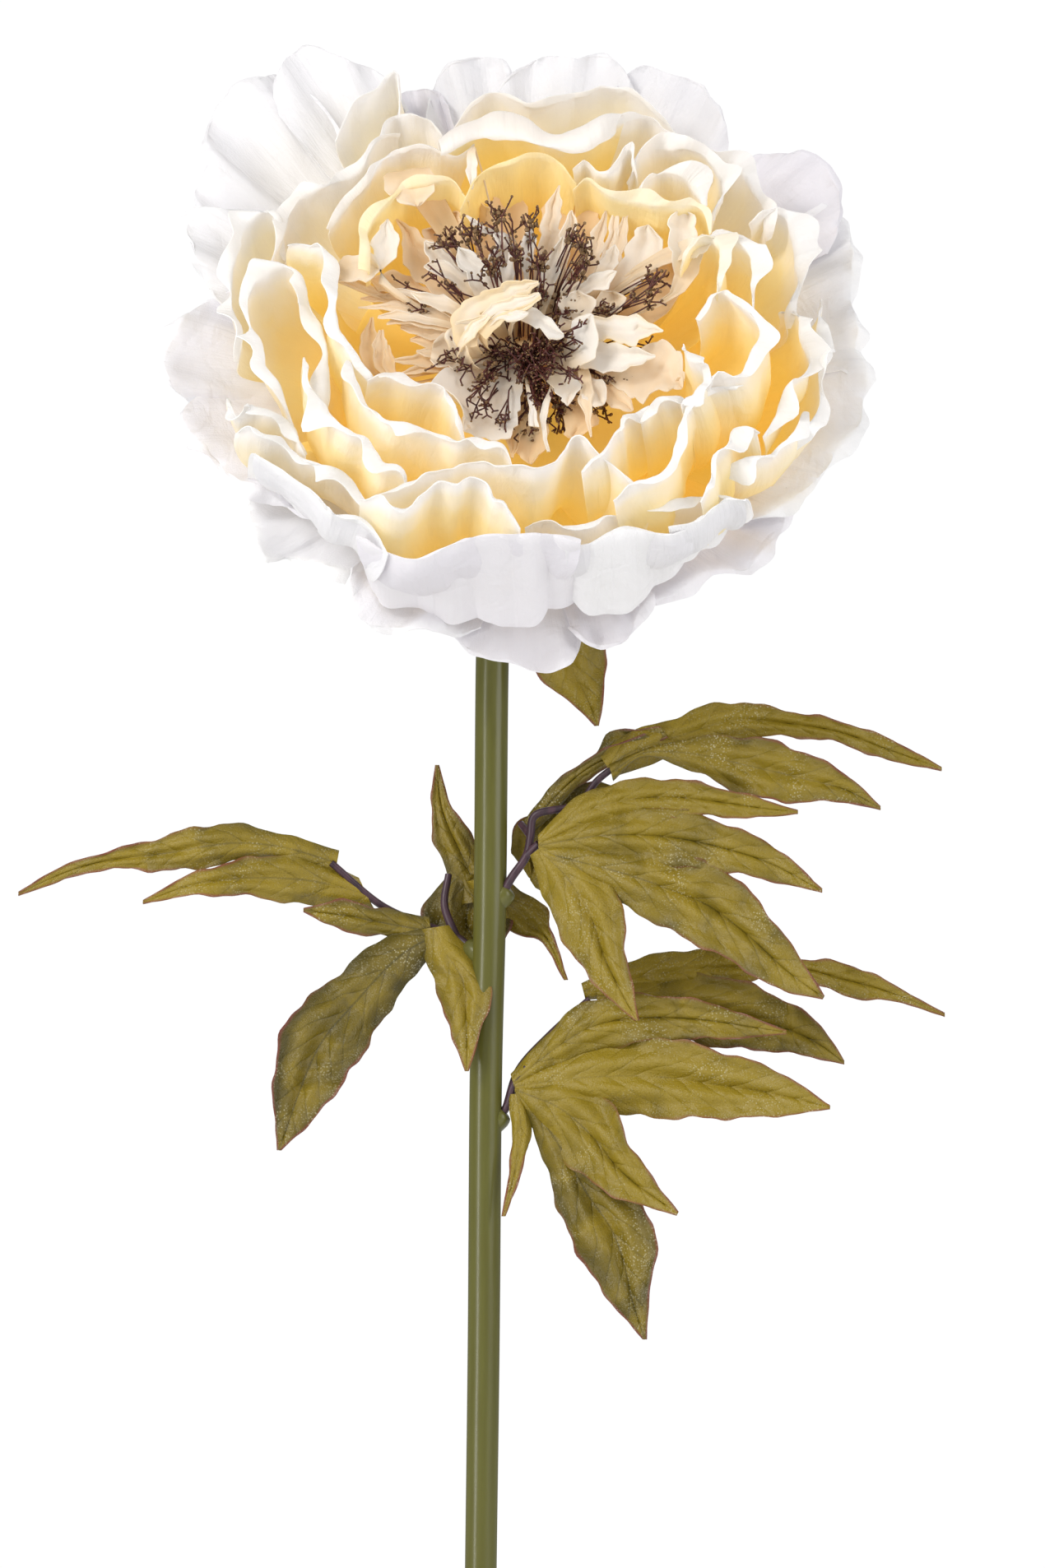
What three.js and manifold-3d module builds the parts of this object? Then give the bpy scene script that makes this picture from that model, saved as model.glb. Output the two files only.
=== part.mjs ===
// Peony in a bud vase: one long-stemmed fabric peony standing in a plain bottle-shaped vase.
// Millimetres, +Z up, the origin at the centre of the vase's foot, the bloom facing -Y.
import * as THREE from "three";
import Module from "manifold-3d";

const wasm = await Module();
wasm.setup();

// Driving dimensions
const VASE_HEIGHT = 190;
const VASE_FOOT_RADIUS = 27;
const VASE_BELLY_RADIUS = 41;
const VASE_NECK_RADIUS = 12;
const VASE_LIP_RADIUS = 15.5;
const VASE_WALL = 4;
const VASE_FLOOR = 9;
const STEM_RADIUS = 4.1;
const SOCKET_RADIUS = 3;
const BLOOM_CENTRE = new THREE.Vector3(11.5, -18, 524.5);
const BLOOM_TILT = THREE.MathUtils.degToRad(53.13);
const PETAL_THICK = 0.9;
const PETALOID_THICK = 0.9;
const LEAF_THICK = 0.9;
const PETIOLE_RADIUS = 1.3;
const FILAMENT_RADIUS = 0.55;
const GAP = 0.35;
const MERGE = 0.2;
const SEED = 41;

const UP = new THREE.Vector3(0, 0, 1);
const COS = Math.cos(BLOOM_TILT);
const SIN = Math.sin(BLOOM_TILT);

function v3(x, y, z) {
  return new THREE.Vector3(x, y, z);
}

/** A repeatable draw between 0 and 1. */
function seeded(seed) {
  let state = seed;
  return () => {
    state = (state * 1664525 + 1013904223) % 4294967296;
    return state / 4294967296;
  };
}

/** A solid from corner points and triangles. */
function solid(points, triangles) {
  const mesh = new wasm.Mesh({
    numProp: 3,
    vertProperties: new Float32Array(points.flatMap((p) => [p.x, p.y, p.z])),
    triVerts: new Uint32Array(triangles.flat()),
  });
  return new wasm.Manifold(mesh);
}

/** The largest single body of a solid. */
function largest(body) {
  const parts = body.decompose();
  let best = parts[0];
  for (const part of parts) {
    if (part.volume() > best.volume()) best = part;
  }
  return best;
}

function join(bodies) {
  return wasm.Manifold.union(bodies);
}



/** A smooth curve through points, sampled evenly into count + 1 points. */
function smooth(points, count) {
  const curve = new THREE.CatmullRomCurve3(points, false, "centripetal");
  return curve.getSpacedPoints(count);
}

function bezier(a, b, c, d, t) {
  const s = 1 - t;
  return v3(0, 0, 0)
    .addScaledVector(a, s * s * s)
    .addScaledVector(b, 3 * s * s * t)
    .addScaledVector(c, 3 * s * t * t)
    .addScaledVector(d, t * t * t);
}

/** A thin closed blade round a grid of mid-surface points, both faces split alike. */
function blade(grid, thick) {
  const rows = grid.length;
  const cols = grid[0].length;
  const points = [];
  const normals = grid.map((row, i) => row.map((p, j) => {
    const across = grid[i][Math.min(j + 1, cols - 1)].clone().sub(grid[i][Math.max(j - 1, 0)]);
    const along = grid[Math.min(i + 1, rows - 1)][j].clone().sub(grid[Math.max(i - 1, 0)][j]);
    return across.cross(along).normalize();
  }));
  for (const side of [0.5, -0.5]) {
    grid.forEach((row, i) => row.forEach((p, j) => {
      points.push(p.clone().addScaledVector(normals[i][j], side * thick));
    }));
  }
  const under = rows * cols;
  const triangles = [];
  for (let i = 0; i < rows - 1; i++) {
    for (let j = 0; j < cols - 1; j++) {
      const a = i * cols + j;
      const b = a + 1;
      const c = b + cols;
      const d = a + cols;
      triangles.push([a, b, c], [a, c, d]);
      triangles.push([a + under, c + under, b + under], [a + under, d + under, c + under]);
    }
  }
  const border = [];
  for (let j = 0; j < cols - 1; j++) border.push(j);
  for (let i = 0; i < rows - 1; i++) border.push(i * cols + cols - 1);
  for (let j = cols - 1; j > 0; j--) border.push((rows - 1) * cols + j);
  for (let i = rows - 1; i > 0; i--) border.push(i * cols);
  border.forEach((p, k) => {
    const q = border[(k + 1) % border.length];
    triangles.push([q, p, p + under], [q, p + under, q + under]);
  });
  return solid(points, triangles);
}

/** A closed rod along a path; radii holds one radius for each path point. */
function rod(path, radii, sides) {
  const points = [];
  const triangles = [];
  let normal = v3(0, 1, 0);
  path.forEach((p, i) => {
    const ahead = path[Math.min(i + 1, path.length - 1)];
    const behind = path[Math.max(i - 1, 0)];
    const along = ahead.clone().sub(behind).normalize();
    normal = normal.clone().addScaledVector(along, -normal.dot(along));
    if (normal.length() < 0.1) normal = v3(1, 0, 0).addScaledVector(along, -along.x);
    normal.normalize();
    const side = along.clone().cross(normal);
    for (let k = 0; k < sides; k++) {
      const angle = (2 * Math.PI * k) / sides;
      const offset = normal.clone().multiplyScalar(Math.cos(angle)).addScaledVector(side, Math.sin(angle));
      points.push(p.clone().addScaledVector(offset, radii[i]));
    }
  });
  const last = path.length - 1;
  for (let i = 0; i < last; i++) {
    for (let k = 0; k < sides; k++) {
      const a = i * sides + k;
      const b = i * sides + ((k + 1) % sides);
      triangles.push([a, b, b + sides], [a, b + sides, a + sides]);
    }
  }
  const foot = points.push(path[0].clone()) - 1;
  const head = points.push(path[last].clone()) - 1;
  for (let k = 0; k < sides; k++) {
    const next = (k + 1) % sides;
    triangles.push([foot, next, k], [head, last * sides + k, last * sides + next]);
  }
  return solid(points, triangles);
}

/** A turned solid from a profile of [radius, height] pairs that starts and ends on the axis. */
function turned(profile, segments) {
  const inner = profile.slice(1, -1);
  const points = [v3(0, 0, profile[0][1])];
  for (const [r, h] of inner) {
    for (let k = 0; k < segments; k++) {
      const angle = (2 * Math.PI * k) / segments;
      points.push(v3(r * Math.cos(angle), r * Math.sin(angle), h));
    }
  }
  points.push(v3(0, 0, profile[profile.length - 1][1]));
  const triangles = [];
  const top = points.length - 1;
  const last = 1 + (inner.length - 1) * segments;
  for (let k = 0; k < segments; k++) {
    const next = (k + 1) % segments;
    triangles.push([0, 1 + next, 1 + k], [top, last + k, last + next]);
    for (let i = 0; i < inner.length - 1; i++) {
      const a = 1 + i * segments + k;
      const b = 1 + i * segments + next;
      triangles.push([a, b, b + segments], [a, b + segments, a + segments]);
    }
  }
  return solid(points, triangles);
}

/** From the bloom's own frame (z along its axis) to the part's frame. */
function toWorld(p) {
  return v3(
    BLOOM_CENTRE.x + p.x,
    BLOOM_CENTRE.y + COS * p.y - SIN * p.z,
    BLOOM_CENTRE.z + SIN * p.y + COS * p.z,
  );
}

function tiltSolid(body) {
  const m = [1, 0, 0, 0, 0, COS, SIN, 0, 0, -SIN, COS, 0, ...BLOOM_CENTRE.toArray(), 1];
  return body.transform(m);
}

/** A bloom point from its place across and up the front view and its height along the axis. */
function face(x, z, height) {
  return v3(x, (z - COS * height) / SIN, height);
}

// Petal layers: where petals root on the core, how they leave it, how they come up to the rim,
// and how far the petals of the front stand up like the wall of a cup
const LAYERS = {
  guard: {
    radius: 28, floor: -16, out: 0.4, sag: 2, rise: 3, bulge: -0.3, wave: 2.2, cup: 0, belly: 0,
  },
  drape: {
    radius: 29, floor: -14, out: 0.5, sag: 4, rise: 10, bulge: 0.1, wave: 1.2, cup: 0.5, belly: 0,
  },
  outer: {
    radius: 27, floor: -12.5, out: 0.55, sag: 3, rise: 12, bulge: 0.06, wave: 1.6, cup: 0.6, belly: -2,
  },
  middle: {
    radius: 22, floor: -10.5, out: 0.6, sag: 2, rise: 14, bulge: 0.1, wave: 1.5, cup: 0.9, belly: 0,
  },
  inner: {
    radius: 16.5, floor: -10.5, out: 0.6, sag: 1, rise: 14, bulge: 0.12, wave: 1.2, cup: 1, belly: 2,
  },
};
const ROOT_SPREAD = 0.6;

// Each petal: layer, heights along the rim (start, middle, end), rim across and up the front view
const PETALS = [
  // guard petals, clockwise from the upper left
  ["guard", [0, 3, 1], [[-66, 66], [-64, 74], [-62, 78], [-55, 80], [-45, 77], [-37, 73], [-32, 66]]],
  ["guard", [-3, -2, 0], [
    [-83, 35], [-84.8, 44], [-80, 51], [-82.3, 57], [-75, 70], [-65, 73.5], [-56, 70],
  ]],
  ["guard", [-3, 1, 0], [[-78, 12], [-85, 27], [-86.8, 33], [-79, 38], [-66, 37]]],
  ["guard", [-8, -5, -4], [[-84, -14], [-90, -7], [-92.5, -2], [-88, 8], [-82, 14], [-72, 18]]],
  ["guard", [-12, -8, -8], [[-46, -46], [-60, -39], [-74, -31], [-84, -22], [-87, -15], [-80, -5]]],
  ["guard", [-20, -17, -15], [
    [-40, -58], [-50, -55], [-58, -52], [-66, -52], [-69, -44], [-70, -36], [-62, -28],
  ]],
  ["guard", [-22, -21, -19], [[-12, -72], [-25, -70.2], [-36, -69.5], [-43, -66], [-45, -56]]],
  ["guard", [-27, -25, -24], [[15, -70], [12, -78.5], [4, -81], [-6, -78], [-15, -75], [-22, -66]]],
  ["guard", [-22, -23, -24], [[34, -60], [29, -67], [24, -74], [19, -74.5], [12, -71]]],
  ["guard", [-15, -18, -20], [[69, -36], [64, -46], [58, -54], [47, -56], [38, -61], [28, -66]]],
  ["guard", [-7, -10, -14], [[83, 6], [87, -5], [85, -18], [78, -27], [70, -36], [58, -44]]],
  ["guard", [-3, -4, -6], [[78, 40], [84.5, 30], [83.5, 20], [85, 6], [84, -4]]],
  ["guard", [2, 1, -2], [[50, 46], [57, 51], [68, 52.5], [77, 49.5], [81, 40], [80, 28]]],
  ["guard", [6, 4, 3], [[23, 70], [30, 75.5], [38, 74], [46, 69], [51, 61], [53, 48]]],
  ["guard", [4, 5, 5], [[-8, 68], [-4, 73], [4, 77.5], [14, 78], [23, 77], [29, 71]]],
  ["guard", [3, 2, 3], [[-26, 62], [-23, 71], [-18, 76.5], [-12, 78.5], [-6, 76], [-2, 68]]],
  // outer cup
  ["outer", [12, 13, 13], [[-48, 56], [-44, 64.5], [-38, 68.5], [-33, 73], [-32, 60]]],
  ["outer", [12, 16, 17], [[-64, 24], [-60, 33], [-57, 40], [-50, 43], [-42, 47], [-37, 56], [-32, 58]]],
  ["outer", [16, 16, 14], [
    [-18, 60], [-10, 66], [2, 65.5], [12, 65.5], [20, 67.5], [30, 68.3], [38, 60], [43, 52],
  ]],
  ["outer", [11, 14, 14], [[30, 54], [38, 53], [46, 51], [49, 45], [48, 34]]],
  ["outer", [16, 14, 11], [[48, 34], [56, 36], [64, 34.7], [68.5, 28], [68, 18], [66, 6]]],
  ["outer", [7, 10, 7], [[74, 16], [74, 4], [74.5, -8], [70, -19], [62, -27]]],
  ["outer", [12, 14, 14], [[64, 12], [69, 9], [70.7, -3], [66, -11], [59, -20]]],
  ["outer", [10, 12, 12], [[-72, 0], [-74, 18], [-70, 34], [-64, 36], [-60, 26]]],
  ["outer", [14, 18, 16], [
    [-57, -15], [-64, -5], [-69, 8], [-68, 18], [-60, 22], [-54, 14], [-50, 0], [-50, -14],
  ]],
  ["outer", [10, 12, 13], [[-72, -18], [-60, -24], [-48, -30], [-41, -35], [-34, -44]]],
  ["outer", [12, 11, 11], [[0, -42], [11, -44], [22, -42], [33, -38.2], [44, -37], [52, -35]]],
  ["outer", [11, 12, 12], [[44, -37], [49, -30], [57, -28], [64, -24], [70, -14]]],
  // middle cup
  ["middle", [20, 23, 22], [[-49, 33], [-41, 42], [-36, 49.5], [-26, 52.5], [-17, 50.5], [-12, 55]]],
  ["middle", [17, 18, 17], [[-40, -36], [-30, -39.5], [-22, -35.5], [-13, -32], [-8, -37], [0, -44]]],
  ["middle", [20, 21, 20], [
    [-38, -35], [-26, -32], [-10, -28], [2, -30.5], [12, -22.5], [20, -27.5], [31, -33],
  ]],
  ["middle", [20, 20, 18], [[-53, -12], [-46, -17], [-39, -22], [-34, -28], [-28, -34]]],
  ["middle", [22, 21, 20], [[48, -7], [41, -14], [38, -20], [32, -28], [20, -35]]],
  ["middle", [22, 25, 21], [[47, 30], [50, 30], [56, 26], [58, 19], [57, 12]]],
  ["middle", [21, 22, 23], [[14, 44], [19, 48.5], [26, 54], [28, 50], [28, 43]]],
  ["middle", [23, 23, 23], [[26, 39], [30, 44], [38, 45.5], [44, 40.5], [47, 33]]],
  // inner cup
  ["inner", [22, 25, 23], [[-58, 30], [-50, 25], [-46.3, 18], [-47.5, 8], [-42, -1], [-38, -6]]],
  ["inner", [22, 22, 21], [[-46, -3], [-43, -12], [-34, -19.5], [-23, -18.6], [-13, -22.7], [-3, -29.5]]],
  ["inner", [23, 22, 21], [[-39, -5], [-32, -6], [-25, -8], [-18, -12], [-15, -21]]],
  ["inner", [23, 25, 22], [[43, -9], [52, -7], [57.3, -1], [57, 8], [50, 15], [43, 10]]],
  ["inner", [23, 25, 23], [[39, 22], [43, 28], [48, 28.5], [50, 22], [47, 15]]],
  ["inner", [25, 25, 25], [[-40, 22], [-38, 34], [-30, 42], [-20, 44], [-14, 40]]],
  ["inner", [25, 26, 25], [[-16, 38], [-12, 45], [-3, 49], [6, 50], [13, 44]]],
  ["inner", [25, 26, 25], [[11, 40], [18, 44], [27, 42], [34, 35], [38, 26]]],
];

// Petals that come up to a crest and fall over it: crest heights, crest, rim heights, rim
const DRAPES = [
  [[2, 4, 5], [[-36, -52], [-27, -53], [-15, -52.5], [-4, -49.5], [8, -46.5]],
    [-20, -20, -16], [[-37, -64], [-27, -65.5], [-15, -69], [-2, -70], [10, -65]]],
  [[5, 5, 4], [[9, -48.5], [17, -46], [26, -45], [36, -46]],
    [-18, -19, -17], [[9, -61], [15, -65], [26, -64.5], [37, -54.5]]],
  [[6, 7, 6], [[36, -45], [43, -43], [50, -38], [55, -38]],
    [-12, -13, -8], [[36, -55], [43, -54], [51, -47], [57, -41]]],
  [[1, 2, 3], [[-68, -26], [-60, -30], [-50, -36], [-40, -43], [-34, -50]],
    [-12, -14, -16], [[-70, -33], [-60, -40], [-50, -43.5], [-43, -48], [-35, -54]]],
  [[25, 26, 25], [[-21, 51], [-10, 60], [-3, 64], [6, 59.5], [16, 57], [25, 59]],
    [29, 31, 29], [[-20, 48], [-12, 51.5], [-5, 54], [4, 51.3], [12, 52], [18, 54]]],
];

/** Petal height at a fraction of the way along its rim. */
function between(heights, u) {
  const [a, b, c] = heights;
  return u < 0.5 ? a + (b - a) * u * 2 : b + (c - b) * (u * 2 - 1);
}

/** Points along a traced line, with the heights given at its start, middle and end. */
function trace(line, heights, count) {
  const flat = smooth(line.map(([x, z]) => v3(x, z, 0)), count);
  return flat.map((p, k) => face(p.x, p.y, between(heights, k / count)));
}

function lineLength(line) {
  let total = 0;
  for (let k = 1; k < line.length; k++) {
    total += Math.hypot(line[k][0] - line[k - 1][0], line[k][1] - line[k - 1][1]);
  }
  return total;
}

/** Mid-surface of one petal from its root on the core up to its rim. */
function petalGrid(layer, rim, steps, phase, crest) {
  const middle = rim[Math.floor(rim.length / 2)];
  const turn = Math.atan2(middle.y, middle.x);
  const columns = rim.map((end, k) => {
    const u = k / (rim.length - 1);
    const own = Math.atan2(end.y, end.x);
    const away = Math.atan2(Math.sin(own - turn), Math.cos(own - turn));
    const angle = turn + ROOT_SPREAD * away;
    const root = v3(layer.radius * Math.cos(angle), layer.radius * Math.sin(angle), layer.floor);
    const top = crest ? crest[k] : end;
    const reach = top.clone().sub(root).setZ(0);
    const span = Math.max(reach.length(), 6);
    const out = v3(Math.cos(angle), Math.sin(angle), 0);
    const cupped = layer.cup * THREE.MathUtils.clamp((0.35 - out.y) / 0.8, 0, 1);
    const climb = Math.max(top.z - root.z, 0);
    const leave = span * (layer.out + (1 - layer.out) * cupped);
    const drop = layer.rise + (0.75 * climb - layer.rise) * cupped;
    const swell = span * layer.bulge + layer.belly * cupped;
    const first = root.clone().addScaledVector(out, leave).addScaledVector(UP, -layer.sag);
    const second = top.clone().addScaledVector(UP, -drop).addScaledVector(out, swell);
    const column = [];
    for (let i = 0; i <= steps; i++) {
      const t = i / steps;
      let p;
      if (!crest) {
        p = bezier(root, first, second, top, t);
      } else if (t <= 0.6) {
        p = bezier(root, first, second, top, t / 0.6);
      } else {
        const lip = top.clone().addScaledVector(UP, 3).addScaledVector(out, 3);
        p = bezier(top, lip, end.clone().addScaledVector(UP, 4), end, (t - 0.6) / 0.4);
      }
      const ruffle = layer.wave * t * t * Math.sin(5.2 * Math.PI * u + phase);
      p.y += COS * ruffle;
      p.z -= SIN * ruffle;
      column.push(p);
    }
    return column;
  });
  return columns[0].map((_, i) => columns.map((column) => toWorld(column[i])));
}

const CORE = [
  [0, -18], [14, -18], [27, -16.5], [36, -12.5], [45, -7.5], [44, -6.5], [30, -9.5], [22, -9], [0, -10],
];

function bloomPetals(grow) {
  const draw = seeded(SEED);
  const bodies = [tiltSolid(turned(CORE, 20))];
  for (const [kind, heights, line] of PETALS) {
    const count = Math.max(3, Math.round(lineLength(line) / 18));
    const grid = petalGrid(LAYERS[kind], trace(line, heights, count), 3, draw() * 6, null);
    bodies.push(blade(grid, PETAL_THICK + 2 * grow));
  }
  for (const [crestHeights, crestLine, rimHeights, rimLine] of DRAPES) {
    const count = Math.max(3, Math.round(lineLength(crestLine) / 14));
    const crest = trace(crestLine, crestHeights, count);
    const rim = trace(rimLine, rimHeights, count);
    bodies.push(blade(petalGrid(LAYERS.drape, rim, 5, draw() * 6, crest), PETAL_THICK + 2 * grow));
  }
  return join(bodies);
}

// Small pointed petals of the middle: tip across, up, height along the axis, and width
const TUFT = [
  [-14.8, 34.8, 18, 9], [-5, 30, 20, 9], [8.8, 42.7, 20, 9], [20.5, 36.5, 18, 8], [27, 37, 17, 8],
  [33, 30, 16, 14], [23, 20.5, 22, 8], [-25, 35, 17, 10], [-34, 30, 15, 10], [-26, 22, 20, 9],
  [-41, 14, 15, 10], [-37, 4, 13, 10], [-8, -22, 8, 17], [-20, -10, 12, 12], [35, 5.5, 17, 14],
  [33, -4, 13, 12], [21, -14, 11, 9], [17, -21, 8, 8], [4, -24, 7, 5], [38, 16, 14, 13], [2, 31, 21, 8],
];

// The ruffle that stands highest over the middle
const RUFFLE = [
  [-20, 9, 21, 12], [-10, 16, 25, 12], [2, 17, 26, 11], [9, 5, 22, 9],
];

/** Mid-surface of one small petal that ends in a point. */
function pointedGrid(tip, width, rootRadius, rootHeight, steps, phase) {
  const turn = Math.atan2(tip.y, tip.x);
  const root = v3(rootRadius * Math.cos(turn), rootRadius * Math.sin(turn), rootHeight);
  const reach = tip.clone().sub(root);
  const first = root.clone().addScaledVector(UP, 0.55 * Math.max(reach.z, 8));
  const second = tip.clone().addScaledVector(reach.clone().setZ(0), -0.35).addScaledVector(UP, 1);
  const side = v3(-Math.sin(turn), Math.cos(turn), 0);
  const grid = [];
  for (let i = 0; i <= steps; i++) {
    const t = i / steps;
    const p = bezier(root, first, second, tip, t);
    const half = Math.max(0.55, 0.5 * width * Math.pow(Math.sin(Math.PI * (0.1 + 0.9 * t)), 0.8));
    const fold = 0.22 * half;
    const twist = side.clone().addScaledVector(UP, 0.5 * Math.sin(phase + 2 * t)).normalize();
    grid.push([-1, 0, 1].map((k) => {
      const q = p.clone().addScaledVector(twist, k * half);
      q.z += Math.abs(k) * fold;
      return toWorld(q);
    }));
  }
  return grid;
}

const TUFT_BASE = [[0, -9.5], [13, -8.5], [12, -3], [0, 1.5]];

function petaloids(grow) {
  const draw = seeded(SEED + 1);
  const bodies = [tiltSolid(turned(TUFT_BASE, 14))];
  for (const [x, z, height, width] of TUFT) {
    const tip = face(x, z, height);
    const far = Math.hypot(tip.x, tip.y);
    const grid = pointedGrid(tip, width, Math.min(11.5, 4 + far * 0.2), -5, 3, draw() * 6);
    bodies.push(blade(grid, PETALOID_THICK + 2 * grow));
  }
  for (const [x, z, height, width] of RUFFLE) {
    const grid = pointedGrid(face(x, z, height), width, 5, 0, 3, draw() * 6);
    bodies.push(blade(grid, PETALOID_THICK + 2 * grow));
  }
  return join(bodies);
}

// Stamen heads: place across and up the front view, height along the axis
const STAMENS = [
  [0, -2, 9], [-6, -5, 9], [5, -8, 8], [8, 5, 11], [3, 0, 12], [12, 24, 22], [15, 28, 20], [-12, 20, 20],
  [-1, 22, 22], [0, 31, 20], [10, 12, 15], [26, 12, 16], [31, 17, 15], [9, -19, 3], [-11, -14, 5],
  [16, 2, 12], [13, -10, 8], [-8, 0, 11], [-2, -14, 4],
];

const STAMEN_BASE = [[0, 1.9], [3.4, 2.2], [2.4, 5.5], [0, 6]];

function stamens(grow) {
  const bodies = [tiltSolid(turned(STAMEN_BASE, 8))];
  for (const [x, z, height] of STAMENS) {
    const head = face(x, z, height);
    const turn = Math.atan2(head.y, head.x);
    const root = v3(2 * Math.cos(turn), 2 * Math.sin(turn), 3.6);
    const middle = root.clone().lerp(head, 0.5).addScaledVector(UP, 4);
    const path = [root, middle, head].map(toWorld);
    const radius = FILAMENT_RADIUS + grow;
    bodies.push(rod(path, [radius * 1.3, radius, radius], 3));
    const along = head.clone().sub(middle).normalize();
    const ends = [-1.4, 0, 1.4].map((k) => toWorld(head.clone().addScaledVector(along, k)));
    bodies.push(rod(ends, [0.5, 1.6, 0.5].map((r) => r + grow), 3));
  }
  return join(bodies);
}

// Stem: from the vase floor through the neck, up behind the bloom and forward into the calyx
const STEM_PATH = [
  [-2, -5, 9.4], [-0.6, -3.4, 100], [0, -2, 190], [1, -0.6, 271], [1.6, 0.8, 342], [2.6, 1.8, 385],
  [3.2, 6.5, 447], [3.8, 9.5, 466], [4.9, 11, 480], [6.6, 10.6, 491], [8.6, 7.6, 500], [10.3, 3.6, 506.5],
  [11.4, 0.9, 510.2],
];

// Leaf sockets on the stem: centre and the way they point
const SOCKETS = [
  [[5.2, 1.6, 386], [0.75, -0.15, 0.65]],
  [[4.0, 0.9, 329], [0.75, -0.1, 0.65]],
  [[-1, 3.4, 372], [-0.7, 0.5, 0.5]],
];

function stem(grow) {
  const path = STEM_PATH.map((p) => v3(...p));
  const radii = path.map((p) => STEM_RADIUS * (0.95 + 0.09 * (p.z / 500)) + grow);
  const bodies = [rod(path, radii, 10)];
  for (const [centre, way] of SOCKETS) {
    const from = v3(...centre);
    const along = v3(...way).normalize();
    const ends = [-2, 1.5, 3].map((k) => from.clone().addScaledVector(along, k));
    bodies.push(rod(ends, [SOCKET_RADIUS, SOCKET_RADIUS, 2.2].map((r) => r + grow), 8));
  }
  return join(bodies);
}

const CALYX = [[0, -23], [6, -23], [12, -21], [14, -18.5], [0, -18.5]];

// The long bract under the bloom: left edge and right edge (across, up), depth from base to tip
const BRACT = {
  left: [[13, 508], [13, 488], [12, 465], [12, 452], [16, 441], [22, 437], [29.4, 430]],
  right: [[22, 507], [28, 490], [32, 466], [32.2, 448], [31.6, 437], [30.4, 430]],
  depth: [-5.3, -1, 4, 4, 1, -4],
};

const SEPALS = 4;

function calyx(grow) {
  const bodies = [tiltSolid(turned(CALYX, 16)), blade(lobeGrid(BRACT, 7, 0.18), LEAF_THICK + 2 * grow)];
  for (let k = 0; k < SEPALS; k++) {
    const turn = Math.PI * (0.12 + (2 * k) / SEPALS);
    const grid = [];
    for (let i = 0; i <= 4; i++) {
      const t = i / 4;
      const half = Math.max(0.6, 9 * Math.sin(Math.PI * (0.25 + 0.72 * t)));
      grid.push([-1, 0, 1].map((j) => {
        const r = 9 + 26 * t;
        const z = -20.6 + 0.5 * t + 0.5 * t * t + 0.04 * Math.abs(j) * half;
        const x = r * Math.cos(turn) - j * half * Math.sin(turn);
        const y = r * Math.sin(turn) + j * half * Math.cos(turn);
        return toWorld(v3(x, y, z));
      }));
    }
    bodies.push(blade(grid, LEAF_THICK + 2 * grow));
  }
  return join(bodies);
}

/** Mid-surface of one leaf lobe between two traced edges, folded along its midrib. */
function lobeGrid(lobe, steps, fold) {
  const left = smooth(lobe.left.map(([x, z]) => v3(x, 0, z)), steps);
  const right = smooth(lobe.right.map(([x, z]) => v3(x, 0, z)), steps);
  const depth = smooth(lobe.depth.map((y, k) => v3(k, y, 0)), steps).map((p) => p.y);
  return left.map((a, i) => {
    const b = right[i];
    const half = a.distanceTo(b) / 2;
    return [0, 0.5, 1].map((k) => {
      const p = a.clone().lerp(b, k);
      p.y = depth[i] + (k === 0.5 ? fold * half : 0);
      return p;
    });
  });
}

// Leaf stalks: branches as points across, away and up
const STALKS = {
  petiole_left: [
    [[-1, 3.4, 372], [-6, 6, 376], [-14, 7, 379], [-25, 7, 384], [-38, 6, 395]],
    [[-6, 6, 376], [-9, 8, 384], [-8, 10, 392]],
  ],
  petiole_upper_right: [
    [
      [5.2, 1.6, 386], [8, -0.5, 391], [12, -1, 397], [13, -1, 402], [14, -1, 407], [25, -2, 410],
      [30, -3, 416], [35, -4, 420],
    ],
    [[12, -1, 397], [15, -3, 400]],
    [[13, -1, 402], [10.5, 3, 405]],
  ],
  petiole_lower_right: [
    [[4, 0.9, 329], [7, 0, 333], [8.5, -1, 338], [12, -2, 343]],
    [[7, 0, 333], [10, 4, 342], [18, 7, 351], [28, 9, 360]],
  ],
};

function petiole(name, grow) {
  const bodies = STALKS[name].map((branch) => {
    const path = smooth(branch.map((p) => v3(...p)), Math.max(3, branch.length * 2 - 2));
    return rod(path, path.map((_, k) => PETIOLE_RADIUS * (1.1 - 0.25 * (k / path.length)) + grow), 6);
  });
  return join(bodies);
}

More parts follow.
